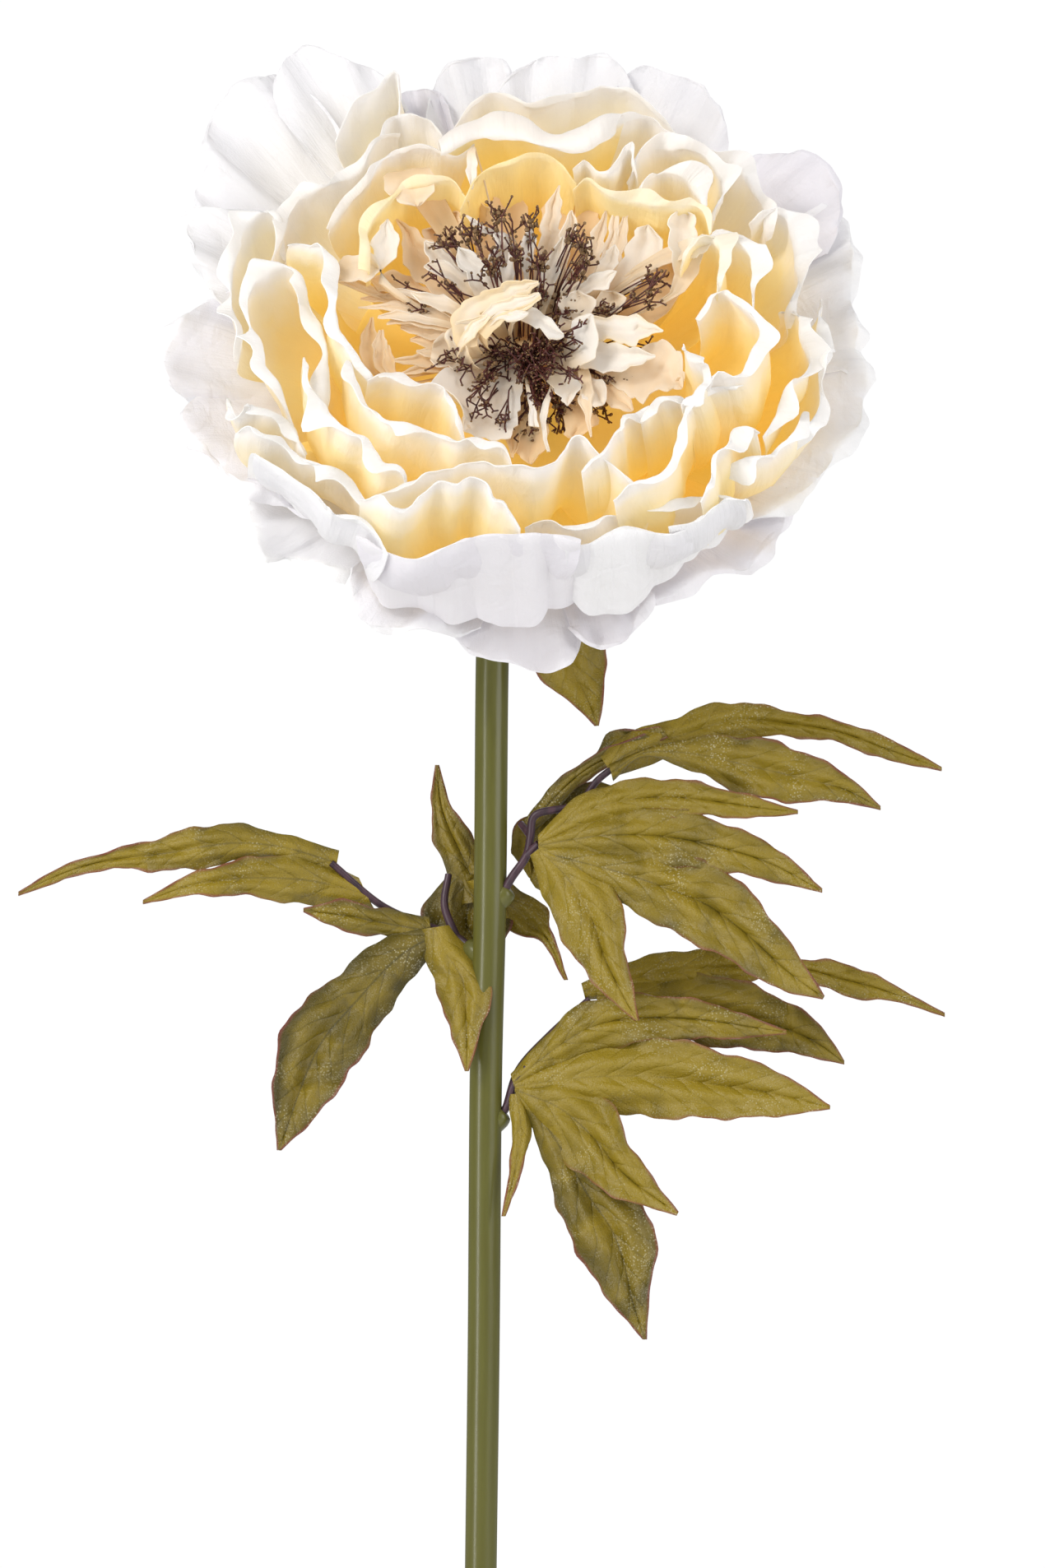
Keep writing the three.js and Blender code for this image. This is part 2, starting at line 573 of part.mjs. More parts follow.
// Leaflets: each lobe has a left and a right edge (across, up) and depths from base to tip
const LEAFLETS = {
  leaf_left_long: [
    { left: [[-37, 392], [-53, 396], [-77, 393], [-97, 393], [-118, 386.5]],
      right: [[-36, 398], [-53, 403], [-66, 405], [-87, 400], [-107, 394], [-118, 387.5]],
      depth: [6, 3, 4, 9] },
    { left: [[-27, 383], [-43, 384], [-60, 386.5], [-74, 386.5], [-86, 384.5]],
      right: [[-31, 391], [-45, 397], [-60, 396], [-74, 392], [-86, 385.5]],
      depth: [6, 2, 0, 2] },
  ],
  leaf_left_low: [
    { left: [[-12, 374], [-24, 376], [-36, 378], [-45, 382.5]],
      right: [[-13, 381], [-26, 383.5], [-34, 385.5], [-45, 383.5]],
      depth: [4, 2, 1] },
    { left: [[-13, 379], [-24, 376], [-38, 365], [-49, 355], [-52.5, 340], [-51.5, 322]],
      right: [[-10, 374], [-17, 366], [-24, 356], [-32, 343], [-42, 330], [-50.5, 322]],
      depth: [3, -4, -12, -14] },
    { left: [[-15, 378], [-14.5, 371], [-11, 364], [-9.5, 357], [-7, 351], [-3.8, 342]],
      right: [[-8, 379], [-5, 375], [0, 370], [3, 363], [1, 354], [-2.8, 342]],
      depth: [2, -4, -7, -8] },
  ],
  leaf_behind: [
    { left: [[-8, 384], [-9, 394], [-12, 402], [-12.5, 410], [-11.5, 420]],
      right: [[8, 386], [2, 395], [-2, 402], [-7, 409], [-10.5, 420]],
      depth: [11, 13, 14, 16] },
    { left: [[-8, 392], [-14, 384], [-15, 378], [-8, 374]],
      right: [[6, 392], [8, 386], [8, 379], [6, 374]],
      depth: [12, 11.5, 11] },
    { left: [[-4, 390], [2, 383], [9, 376.5], [15, 375.5], [21.5, 365]],
      right: [[4, 392], [12, 387], [17, 383], [18.5, 378], [22.5, 365]],
      depth: [11, 10, 9, 8] },
  ],
  leaf_upper_long: [
    { left: [[34, 417], [43, 420], [56, 424], [70, 427], [90, 426], [103, 421.5], [118, 418.5]],
      right: [[31, 422], [36, 427], [50, 432], [62, 436], [78, 434], [96, 430], [108, 425], [118, 419.5]],
      depth: [-4, -5, -4, -2, 4] },
    { left: [[34, 416], [41, 422], [52, 419.5], [67, 412.5], [80, 410.5], [92, 410.5], [102, 408.5]],
      right: [[33, 420], [44, 424.5], [56, 427], [70, 427], [82, 423.5], [94, 417], [102, 409.5]],
      depth: [-5, -9, -12, -14, -12] },
    { left: [[11, 405], [17, 413], [25, 420], [32, 424], [42, 428]],
      right: [[14, 403], [20, 409], [29, 417.5], [38, 421.5], [48, 424]],
      depth: [4, 4, 3, -1, -4.6] },
    { left: [[30, 423], [33, 428], [37, 429], [46, 429.8]],
      right: [[31, 420], [36, 422], [42, 424], [48, 427]],
      depth: [2.5, 0, -4.6] },
  ],
  leaf_upper_broad: [
    { left: [[15, 399], [28, 404], [44, 407], [58, 407], [70, 406.5], [81, 407.5]],
      right: [[15, 402], [24, 411], [33, 415], [48, 416.5], [64, 413.5], [81, 408.5]],
      depth: [-4, -9, -13, -14, -12] },
    { left: [[15, 398], [32, 396], [48, 394], [64, 392.5], [76, 390], [87, 387.5]],
      right: [[15, 401], [32, 408], [50, 409], [66, 403.5], [76, 398.5], [87, 388.5]],
      depth: [-4, -11, -17, -20, -20] },
    { left: [[14, 396], [24, 390], [37, 384], [50, 377], [64, 370], [76, 363], [87, 360.5]],
      right: [[16, 400], [32, 400], [50, 397], [63, 393], [71, 385], [80, 373], [87.5, 361.5]],
      depth: [-4, -11, -17, -22, -26] },
    { left: [[13, 397], [17, 385], [24, 371], [33, 360.5], [39.5, 355]],
      right: [[17, 400], [28, 396], [36, 386], [37, 374], [38.5, 366], [40.5, 355]],
      depth: [-4, -10, -15, -20] },
  ],
  leaf_upper_back: [
    { left: [[12, 399], [9, 396.5], [7.8, 400], [9, 405], [14, 407.5]],
      right: [[13, 393], [15, 388], [18, 390], [21, 396], [24, 402]],
      depth: [6.6, 7, 7, 7] },
    { left: [[12, 401], [14, 406], [22, 414], [30, 416]],
      right: [[18, 396], [24, 402], [31, 408], [38, 413]],
      depth: [7, 7, 6, 5] },
  ],
  leaf_lower_broad: [
    { left: [[9, 337], [22, 344], [38, 349], [51, 350], [66, 350.5], [78, 351.5]],
      right: [[8, 341], [18, 352], [27, 359.5], [42, 361.5], [58, 359.5], [78, 352.5]],
      depth: [-2, -8, -12, -14, -14] },
    { left: [[9, 336], [24, 333], [40, 330.5], [58, 330], [74, 330.5], [89, 332.5]],
      right: [[9, 340], [26, 348], [44, 351], [60, 347.5], [76, 342], [89, 333.5]],
      depth: [-2, -9, -14, -18, -20] },
    { left: [[9, 335], [14, 327], [24, 317], [36, 309.5], [45, 307], [50, 305.5]],
      right: [[10, 339], [24, 341], [34, 333], [38, 324], [44, 315], [50.5, 306.5]],
      depth: [-2, -10, -15, -18, -20] },
    { left: [[10, 335], [14, 326], [18, 314], [21, 304], [26, 294], [32, 285], [41.5, 274]],
      right: [[12, 337], [24, 326], [34, 315], [43, 306], [45, 297], [43, 284], [42.5, 274]],
      depth: [-2, -8, -13, -16, -18] },
    { left: [[7.6, 336], [8, 328], [8, 320], [5.6, 305]],
      right: [[11, 336], [13, 327], [10.5, 316], [6.6, 305]],
      depth: [-2, -5, -7, -8] },
  ],
  leaf_lower_back: [
    { left: [[27, 360], [40, 361], [58, 363], [80, 366], [93, 361], [108, 359], [119, 355.5]],
      right: [[26, 364], [38, 369.5], [52, 372.5], [75, 371], [96, 368.5], [108, 362.5], [119, 356.5]],
      depth: [9, 9, 8, 8, 12] },
    { left: [[30, 359], [42, 353], [60, 348], [74, 347], [84, 345.5], [93, 343.5]],
      right: [[30, 363], [46, 366], [62, 366], [76, 361], [87, 353.5], [93, 344.5]],
      depth: [9, 5, 1, -1, 0] },
  ],
};

function leaflet(name, grow) {
  const bodies = LEAFLETS[name].map((lobe) => {
    const steps = Math.max(4, Math.round(lineLength(lobe.left) / 14));
    return blade(lobeGrid(lobe, steps, 0.16), LEAF_THICK + 2 * grow);
  });
  return join(bodies);
}

function vase() {
  const h = VASE_HEIGHT;
  const belly = VASE_BELLY_RADIUS;
  const neck = VASE_NECK_RADIUS;
  const wall = VASE_WALL;
  const outer = [
    [VASE_FOOT_RADIUS - 1.5, 0], [VASE_FOOT_RADIUS, 1.5], [belly * 0.83, 14], [belly * 0.96, 32],
    [belly, 50], [belly * 0.96, 67], [belly * 0.83, 85], [belly * 0.62, 102], [belly * 0.43, 117],
    [neck * 1.12, 131], [neck, 145], [neck * 0.97, 160], [neck * 1.04, 174],
    [VASE_LIP_RADIUS * 0.94, h - 4], [VASE_LIP_RADIUS, h - 1.5], [VASE_LIP_RADIUS - 1, h],
  ];
  const inner = [
    [VASE_LIP_RADIUS - 2.4, h - 0.4], [VASE_LIP_RADIUS - 4.2, h - 6], [neck * 0.97 - wall, 165],
    [neck - wall, 145], [belly * 0.43 - wall, 115], [belly * 0.8 - wall, 84], [belly - wall, 50],
    [belly * 0.83 - wall, 18], [belly * 0.5, VASE_FLOOR],
  ];
  return turned([[0, 0], ...outer, ...inner, [0, VASE_FLOOR]], 24);
}

/** Adds a finished node to the group. */
function addNode(group, name, body, colour, roughness) {
  const mesh = body.getMesh();
  const geometry = new THREE.BufferGeometry();
  const corners = new Float32Array(mesh.vertProperties);
  geometry.setAttribute("position", new THREE.BufferAttribute(corners, 3));
  geometry.setIndex(new THREE.BufferAttribute(new Uint32Array(mesh.triVerts), 1));
  const material = new THREE.MeshStandardMaterial({ color: colour, roughness });
  material.name = `${name}_finish`;
  const node = new THREE.Mesh(geometry, material);
  node.name = name;
  group.add(node);
}

/** A body with room left round every earlier piece it could meet, as one connected part. */
function cleared(body, others) {
  let rest = body;
  for (const other of others) rest = rest.subtract(other);
  return largest(largest(rest).simplify(MERGE));
}

const OLIVE = 0x7c7a34;
const PLUM = 0x54404a;
const part = new THREE.Group();
part.name = "peony_in_a_bud_vase";

addNode(part, "bud_vase", vase(), 0xece7dc, 0.3);
const stemRoom = stem(GAP);
addNode(part, "stem", largest(stem(0)), 0x6f7042, 0.45);
const calyxBody = cleared(calyx(0), [stemRoom]);
addNode(part, "calyx", calyxBody, OLIVE, 0.6);
const petalBody = cleared(bloomPetals(0), [calyx(GAP), stemRoom]);
addNode(part, "bloom_petals", petalBody, 0xf4ecdc, 0.7);
const petalRoom = bloomPetals(GAP);
const tuftBody = cleared(petaloids(0), [petalRoom]);
addNode(part, "petaloids", tuftBody, 0xe8d2b4, 0.7);
const stamenBody = cleared(stamens(0), [petaloids(GAP), petalRoom]);
addNode(part, "stamens", stamenBody, 0x4a2a22, 0.6);

const taken = [stemRoom];
for (const name of Object.keys(STALKS)) {
  addNode(part, name, cleared(petiole(name, 0), [stemRoom]), PLUM, 0.5);
  taken.push(petiole(name, GAP));
}
for (const name of Object.keys(LEAFLETS)) {
  addNode(part, name, cleared(leaflet(name, 0), taken), OLIVE, 0.6);
  taken.push(leaflet(name, GAP));
}

export default part;
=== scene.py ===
"""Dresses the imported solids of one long-stemmed fabric peony standing in a plain bud vase.

The bloom is described in its own front view: every rim is a line of points (across, up) in millimetres
from the middle of the bloom, with its height along the bloom's axis. The petals are lofted from the core
up to those rims, and their cloth is then waved, curled and creased.
"""
import logging
import math
from dataclasses import dataclass, field
from enum import Enum

import bpy
import numpy as np
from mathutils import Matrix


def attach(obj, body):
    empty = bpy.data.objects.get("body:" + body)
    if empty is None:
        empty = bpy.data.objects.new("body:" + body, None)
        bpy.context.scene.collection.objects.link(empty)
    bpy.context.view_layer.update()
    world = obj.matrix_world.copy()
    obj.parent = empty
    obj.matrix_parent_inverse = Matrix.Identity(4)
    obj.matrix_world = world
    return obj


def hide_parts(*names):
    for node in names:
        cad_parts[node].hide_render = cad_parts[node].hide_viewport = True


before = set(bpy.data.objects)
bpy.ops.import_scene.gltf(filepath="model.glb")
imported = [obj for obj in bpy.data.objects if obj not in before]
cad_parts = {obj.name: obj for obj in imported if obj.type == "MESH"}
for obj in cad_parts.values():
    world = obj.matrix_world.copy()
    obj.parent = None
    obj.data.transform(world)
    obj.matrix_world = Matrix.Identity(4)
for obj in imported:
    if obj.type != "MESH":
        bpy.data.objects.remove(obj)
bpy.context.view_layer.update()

LOG = logging.getLogger("peony")
MM = 0.001
BODY = "root"

# The middle of the bloom in the part's frame. Its axis leans forward, along (0, -SIN, COS).
BLOOM_CENTRE = np.array([11.5, -18.0, 524.5])
COS = 0.6
SIN = 0.8
UP = np.array([0.0, 0.0, 1.0])
# A whole turn, near enough for the drawn start of a wave.
ROUND = 6.28

Material = bpy.types.Material
Socket = bpy.types.NodeSocket
Thing = bpy.types.Object
Tree = bpy.types.NodeTree
Line = tuple[tuple[float, float], ...]
Colour = tuple[float, float, float]
Painted = dict[str, np.ndarray | float]
Stops = tuple[tuple[float, Colour], ...]
# What a node's input can be given: a socket to join it to, or a value of its own kind.
Value = Socket | float | str | Colour | Material
Inputs = dict[str | int, Value]


# ---------------------------------------------------------------- curves and meshes

class Draw:
    """A repeatable row of numbers between 0 and 1."""

    FACTOR = 1664525
    STEP = 1013904223
    RANGE = 4294967296

    def __init__(self, seed: int) -> None:
        """Starts the row at a seed."""
        self.state = seed

    def next(self) -> float:
        """Gives the next number."""
        self.state = (self.state * self.FACTOR + self.STEP) % self.RANGE
        return self.state / self.RANGE


def unit(v: np.ndarray) -> np.ndarray:
    """Scales vectors along the last axis to length 1."""
    return v / np.maximum(np.linalg.norm(v, axis=-1, keepdims=True), 1e-9)


def smooth(points: np.ndarray | Line, count: int) -> np.ndarray:
    """Runs a smooth curve through points and samples it evenly.

    Args:
        points: the points, one per row.
        count: how many equal steps to take.

    Returns:
        count + 1 points along the curve.
    """
    p = np.asarray(points, float)
    p = np.vstack([2 * p[0] - p[1], p, 2 * p[-1] - p[-2]])
    gaps = np.maximum(np.linalg.norm(np.diff(p, axis=0), axis=1), 1e-6)
    knots = np.concatenate([[0], np.cumsum(gaps ** 0.5)])
    fine = []
    for i in range(1, len(p) - 2):
        t0, t1, t2, t3 = knots[i - 1:i + 3]
        t = np.linspace(t1, t2, 17)[:, None]
        a1 = (t1 - t) / (t1 - t0) * p[i - 1] + (t - t0) / (t1 - t0) * p[i]
        a2 = (t2 - t) / (t2 - t1) * p[i] + (t - t1) / (t2 - t1) * p[i + 1]
        a3 = (t3 - t) / (t3 - t2) * p[i + 1] + (t - t2) / (t3 - t2) * p[i + 2]
        b1 = (t2 - t) / (t2 - t0) * a1 + (t - t0) / (t2 - t0) * a2
        b2 = (t3 - t) / (t3 - t1) * a2 + (t - t1) / (t3 - t1) * a3
        fine.append((t2 - t) / (t2 - t1) * b1 + (t - t1) / (t2 - t1) * b2)
    curve = np.vstack([fine[0]] + [f[1:] for f in fine[1:]])
    run = np.concatenate([[0], np.cumsum(np.linalg.norm(np.diff(curve, axis=0), axis=1))])
    at = np.linspace(0, run[-1], count + 1)
    return np.column_stack([np.interp(at, run, curve[:, k]) for k in range(p.shape[1])])


def bezier(a: np.ndarray, b: np.ndarray, c: np.ndarray, d: np.ndarray, t: np.ndarray) -> np.ndarray:
    """Points on cubic curves, for every t (rows) and every set of ends (columns)."""
    t = t[:, None, None]
    s = 1 - t
    return s ** 3 * a + 3 * s * s * t * b + 3 * s * t * t * c + t ** 3 * d


def line_length(line: Line) -> float:
    """Length of a line of points."""
    return float(np.linalg.norm(np.diff(np.asarray(line, float), axis=0), axis=1).sum())


def to_world(p: np.ndarray) -> np.ndarray:
    """Takes points from the bloom's frame, z along its axis, to the part's frame."""
    turn = np.array([[1, 0, 0], [0, COS, SIN], [0, -SIN, COS]])
    return BLOOM_CENTRE + p @ turn


def behind(up: np.ndarray, height: np.ndarray) -> np.ndarray:
    """Place along y, in the bloom's frame, of a point seen this far up the front view at this height."""
    return (up - COS * height) / SIN


def trace(line: Line, heights: tuple[float, float, float], count: int) -> np.ndarray:
    """Samples a rim of the front view into the bloom's frame.

    Args:
        line: points across and up the front view.
        heights: heights along the bloom's axis at the start, middle and end.
        count: steps along the rim.

    Returns:
        count + 1 points in the bloom's frame.
    """
    flat = smooth(line, count)
    height = np.interp(np.linspace(0, 1, count + 1), [0, 0.5, 1], heights)
    return np.column_stack([flat[:, 0], behind(flat[:, 1], height), height])


def tube_faces(rings: int, sides: int) -> np.ndarray:
    """Faces round rings of points, whose ends are closed by the two points that follow the rings."""
    k = np.arange(sides)
    after = (k + 1) % sides
    faces = [np.column_stack([i * sides + k, i * sides + after, (i + 1) * sides + after, (i + 1) * sides + k])
             for i in range(rings - 1)]
    foot = np.full(sides, rings * sides)
    last = (rings - 1) * sides
    faces.append(np.column_stack([foot, after, k, k]))
    faces.append(np.column_stack([foot + 1, last + k, last + after, last + after]))
    return np.vstack(faces)


@dataclass
class Patch:
    """Vertices, faces and painted values of one or more closed forms."""

    verts: list[np.ndarray] = field(default_factory=list)
    faces: list[np.ndarray] = field(default_factory=list)
    values: dict[str, list[np.ndarray]] = field(default_factory=dict)
    count: int = 0

    def add(self, verts: np.ndarray, faces: np.ndarray, values: Painted) -> None:
        """Adds vertices, faces that index them, and for each name one value, or one for each vertex."""
        self.verts.append(verts)
        self.faces.append(faces + self.count)
        for name, value in values.items():
            self.values.setdefault(name, []).append(np.broadcast_to(np.asarray(value, float), len(verts)))
        self.count += len(verts)

    def blade(self, grid: np.ndarray, thick: float, values: Painted) -> None:
        """Adds a thin closed blade round a grid of mid-surface points.

        Args:
            grid: points as rows, columns and x, y, z.
            thick: its thickness.
            values: one value for each point, by name.
        """
        rows, cols = grid.shape[:2]
        normal = unit(np.cross(np.gradient(grid, axis=1), np.gradient(grid, axis=0)))
        half = normal * (thick / 2)
        verts = np.vstack([(grid + half).reshape(-1, 3), (grid - half).reshape(-1, 3)])
        i, j = np.meshgrid(np.arange(rows - 1), np.arange(cols - 1), indexing="ij")
        a = (i * cols + j).ravel()
        under = rows * cols
        top = np.column_stack([a, a + 1, a + 1 + cols, a + cols])
        bottom = np.column_stack([a, a + cols, a + 1 + cols, a + 1]) + under
        border = np.concatenate([
            np.arange(cols - 1), np.arange(rows - 1) * cols + cols - 1,
            (rows - 1) * cols + np.arange(cols - 1, 0, -1), np.arange(rows - 1, 0, -1) * cols,
        ])
        after = np.roll(border, -1)
        side = np.column_stack([after, border, border + under, after + under])
        twice = {name: np.tile(np.broadcast_to(v, (rows, cols)).ravel(), 2) for name, v in values.items()}
        self.add(verts, np.vstack([top, bottom, side]), twice)

    def rod(self, path: np.ndarray, radii: np.ndarray, sides: int) -> None:
        """Adds a closed round rod.

        Args:
            path: the points of the middle line.
            radii: one radius for each point.
            sides: sides of the section.
        """
        normal = np.array([0.0, 1.0, 0.0])
        rings = []
        angle = 2 * np.pi * np.arange(sides) / sides
        for p, a, r in zip(path, unit(np.gradient(path, axis=0)), radii):
            normal = normal - a * normal.dot(a)
            if np.linalg.norm(normal) < 0.1:
                normal = np.array([1.0, 0.0, 0.0]) - a * a[0]
            normal = normal / np.linalg.norm(normal)
            side = np.cross(a, normal)
            rings.append(p + r * (np.outer(np.cos(angle), normal) + np.outer(np.sin(angle), side)))
        self.add(np.vstack(rings + [path[:1], path[-1:]]), tube_faces(len(path), sides), {})

    def turned(self, profile: np.ndarray | Line, segments: int, values: Painted | None = None,
               in_bloom: bool = False) -> None:
        """Adds a turned solid.

        Args:
            profile: radius and height pairs that start and end on the axis.
            segments: how many sides it has.
            values: one value for the whole solid, by name.
            in_bloom: whether it stands on the bloom's axis instead of the part's.
        """
        angle = 2 * np.pi * np.arange(segments) / segments
        profile = np.asarray(profile, float)
        rings = [np.column_stack([r * np.cos(angle), r * np.sin(angle), np.full(segments, h)])
                 for r, h in profile[1:-1]]
        verts = np.vstack(rings + [[[0, 0, profile[0][1]], [0, 0, profile[-1][1]]]])
        self.add(to_world(verts) if in_bloom else verts, tube_faces(len(rings), segments), values or {})

    def build(self, name: str, material: Material, sharp: float = 60.0) -> Thing:
        """Makes the object, in metres, at the origin.

        Args:
            name: the piece's name.
            material: its finish.
            sharp: edges steeper than this many degrees stay crisp.

        Returns:
            The linked object.
        """
        faces = [tuple(dict.fromkeys(f)) for f in np.vstack(self.faces).tolist()]
        mesh = bpy.data.meshes.new(name)
        mesh.from_pydata((np.vstack(self.verts) * MM).tolist(), [], faces)
        for key, parts in self.values.items():
            layer = mesh.attributes.new(key, "FLOAT", "POINT")
            layer.data.foreach_set("value", np.concatenate(parts).astype(np.float32))
        mesh.polygons.foreach_set("use_smooth", np.ones(len(mesh.polygons), bool))
        mesh.set_sharp_from_angle(angle=math.radians(sharp))
        mesh.materials.append(material)
        mesh.validate()
        mesh.update()
        return linked(name, mesh)


def linked(name: str, data: bpy.types.ID) -> Thing:
    """Puts a mesh, a light or a camera into the scene as an object."""
    piece = bpy.data.objects.new(name, data)
    bpy.context.scene.collection.objects.link(piece)
    return piece


def mount(piece: Thing, slot: str, *nodes: str) -> None:
    """Rides a piece on the part and lets it stand for CAD nodes."""
    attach(piece, BODY)
    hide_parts(*nodes)
    LOG.info("%s: %d faces", piece.name, len(piece.data.polygons))


# ---------------------------------------------------------------- finishes

class Nodes:
    """Short calls for building a node tree."""

    def __init__(self, tree: Tree) -> None:
        """Keeps the tree that the calls add to."""
        self.tree = tree

    def new(self, kind: str, inputs: Inputs | None = None, **settings: object) -> bpy.types.Node:
        """Adds a node, sets its properties and feeds its inputs."""
        node = self.tree.nodes.new(kind)
        for key, value in settings.items():
            setattr(node, key, value)
        self.feed(node, inputs or {})
        return node

    def feed(self, node: bpy.types.Node, inputs: Inputs) -> None:
        """Joins a node's inputs, named or numbered, to sockets, or sets them to values."""
        for key, value in inputs.items():
            socket = node.inputs[key]
            if isinstance(value, Socket):
                self.tree.links.new(value, socket)
            elif socket.type == "RGBA":
                socket.default_value = (*value, 1.0)
            else:
                socket.default_value = value

    def first(self, kind: str) -> bpy.types.Node:
        """Finds the tree's own node of a kind."""
        return next(node for node in self.tree.nodes if node.type == kind)

    def math(self, operation: str, a: Value, b: Value = 0.0, clamp: bool = False) -> Socket:
        """Adds a maths node. Returns its output."""
        return self.new("ShaderNodeMath", {0: a, 1: b}, operation=operation, use_clamp=clamp).outputs[0]

    def plus(self, a: Value, b: Value, clamp: bool = False) -> Socket:
        """Adds two values."""
        return self.math("ADD", a, b, clamp)

    def less(self, a: Value, b: Value, clamp: bool = False) -> Socket:
        """Takes b from a."""
        return self.math("SUBTRACT", a, b, clamp)

    def times(self, a: Value, b: Value, clamp: bool = False) -> Socket:
        """Multiplies two values."""
        return self.math("MULTIPLY", a, b, clamp)

    def power(self, a: Value, b: Value) -> Socket:
        """Raises a to the power b."""
        return self.math("POWER", a, b)

    def swing(self, a: Value, size: Value) -> Socket:
        """Turns a value round one half into one round zero, this many times as large."""
        return self.times(self.less(a, 0.5), size)

    def value(self, name: str) -> Socket:
        """Reads a painted value of the piece."""
        return self.new("ShaderNodeAttribute", attribute_name=name).outputs["Fac"]

    def place(self) -> Socket:
        """Reads where a point lies in its piece, in metres."""
        return self.new("ShaderNodeTexCoord").outputs["Object"]

    def noise(self, vector: Socket, scale: Value, detail: float = 2.0,
              distortion: float = 0.0) -> Socket:
        """Adds a noise texture. Returns its value."""
        return self.new("ShaderNodeTexNoise", {
            "Vector": vector, "Scale": scale, "Detail": detail, "Distortion": distortion}).outputs[0]

    def ramp(self, factor: Socket, stops: Stops) -> Socket:
        """Adds a colour ramp with the stops given. Returns its colour."""
        node = self.new("ShaderNodeValToRGB", {0: factor})
        node.color_ramp.interpolation = "EASE"
        elements = node.color_ramp.elements
        while len(elements) < len(stops):
            elements.new(0.5)
        for element, (at, colour) in zip(elements, stops):
            element.position = at
            element.color = (*colour, 1.0)
        return node.outputs[0]

    def mix(self, factor: Value, a: Value, b: Value) -> Socket:
        """Mixes two colours. Returns the result."""
        return self.new("ShaderNodeMix", {0: factor, 6: a, 7: b}, data_type="RGBA").outputs[2]


def shader_group(name: str, inputs: dict[str, float],
                 outputs: tuple[str, str]) -> tuple[Nodes, bpy.types.bpy_prop_collection]:
    """Starts a shader node group of float inputs and outputs.

    Args:
        name: the group's name.
        inputs: its inputs with their defaults.
        outputs: its outputs.

    Returns:
        The helper that builds it, and what it is given, by name.
    """
    tree = bpy.data.node_groups.new(name, "ShaderNodeTree")
    for key, default in inputs.items():
        tree.interface.new_socket(key, in_out="INPUT", socket_type="NodeSocketFloat").default_value = default
    for key in outputs:
        tree.interface.new_socket(key, in_out="OUTPUT", socket_type="NodeSocketFloat")
    n = Nodes(tree)
    return n, n.new("NodeGroupInput").outputs


def cloth_grain_group() -> Tree:
    """Fine woven grain and soft creases of pressed cloth, as a height and a mottle mask."""
    n, given = shader_group("cloth_grain", {"Grain Scale": 2600.0, "Crease Scale": 120.0, "Crease": 0.5},
                            ("Height", "Mottle"))
    grain = n.noise(n.place(), given["Grain Scale"])
    crease = n.noise(n.place(), given["Crease Scale"], detail=5.0, distortion=1.2)
    folded = n.times(n.math("ABSOLUTE", n.less(crease, 0.5)), given["Crease"])
    weave_share, fold_share = 0.16, 3.0
    height = n.plus(n.times(grain, weave_share), n.times(folded, fold_share))
    n.new("NodeGroupOutput", {"Height": height, "Mottle": crease})
    return n.tree


def speck_and_glint_group() -> Tree:
    """Small flecks as a mask, with their raised height: on the leaves painted glints of sparkling cloth, in
    the glaze iron specks.
    """
    n, given = shader_group("speck_and_glint", {"Scale": 1500.0, "Amount": 0.5}, ("Mask", "Height"))
    cells = n.new("ShaderNodeTexVoronoi", {"Vector": n.place(), "Scale": given["Scale"]})
    reach, contrast, raised = 0.42, 14.0, 0.6
    near = n.less(reach, cells.outputs["Distance"], clamp=True)
    patches = n.noise(n.place(), scale=90.0, detail=3.0)
    where = n.less(patches, n.less(1.0, given["Amount"]), clamp=True)
    mask = n.times(n.times(near, where), contrast, clamp=True)
    n.new("NodeGroupOutput", {"Mask": mask, "Height": n.times(near, raised)})
    return n.tree


def vein_group() -> Tree:
    """Leaf veins from the values painted on a lobe: a midrib and side veins that lean towards the tip."""
    n, given = shader_group("leaf_vein", {"Along": 0.0, "Side": 0.5, "Spread": 3.0, "Pitch": 8.0},
                            ("Vein", "Pillow"))
    sway_length, lean, branch_sharpness, branch_depth, rib_sharpness = 9.0, 1.9, 7.0, 0.6, 2.2
    sway = n.swing(n.noise(n.place(), scale=70.0), sway_length)
    run = n.plus(n.less(given["Along"], n.times(given["Spread"], lean)), sway)
    step = n.math("FRACT", n.math("DIVIDE", run, given["Pitch"]))
    apart = n.times(n.math("ABSOLUTE", n.less(step, 0.5)), 2.0)
    branch = n.less(1.0, n.times(n.less(1.0, apart), branch_sharpness), clamp=True)
    fade = n.less(1.0, n.power(given["Side"], 3.0), clamp=True)
    rib = n.less(1.0, n.times(given["Spread"], rib_sharpness), clamp=True)
    vein = n.math("MAXIMUM", n.times(n.times(branch, branch_depth), fade), rib)
    pillow = n.times(n.less(1.0, n.power(apart, 3.0)), fade)
    n.new("NodeGroupOutput", {"Vein": vein, "Pillow": pillow})
    return n.tree


@dataclass
class Groups:
    """The shader groups that several finishes share."""

    grain: Tree
    speck_and_glint: Tree
    vein: Tree


def start_material(name: str) -> tuple[Material, Nodes, bpy.types.Node]:
    """Makes a material and returns it with its tree helper and its main shader."""
    material = bpy.data.materials.new(name)
    material.use_nodes = True
    n = Nodes(material.node_tree)
    return material, n, n.first("BSDF_PRINCIPLED")


def shared(n: Nodes, group: Tree, inputs: Inputs) -> bpy.types.bpy_prop_collection:
    """Puts a shared group into a material. Returns its outputs."""
    return n.new("ShaderNodeGroup", inputs, node_tree=group).outputs


def bump(n: Nodes, shader: bpy.types.Node, height: Socket, strength: float,
         distance: float) -> None:
    """Feeds a height to the shader's normal; distance is its full depth in metres."""
    node = n.new("ShaderNodeBump", {"Strength": strength, "Distance": distance, "Height": height})
    n.feed(shader, {"Normal": node.outputs[0]})


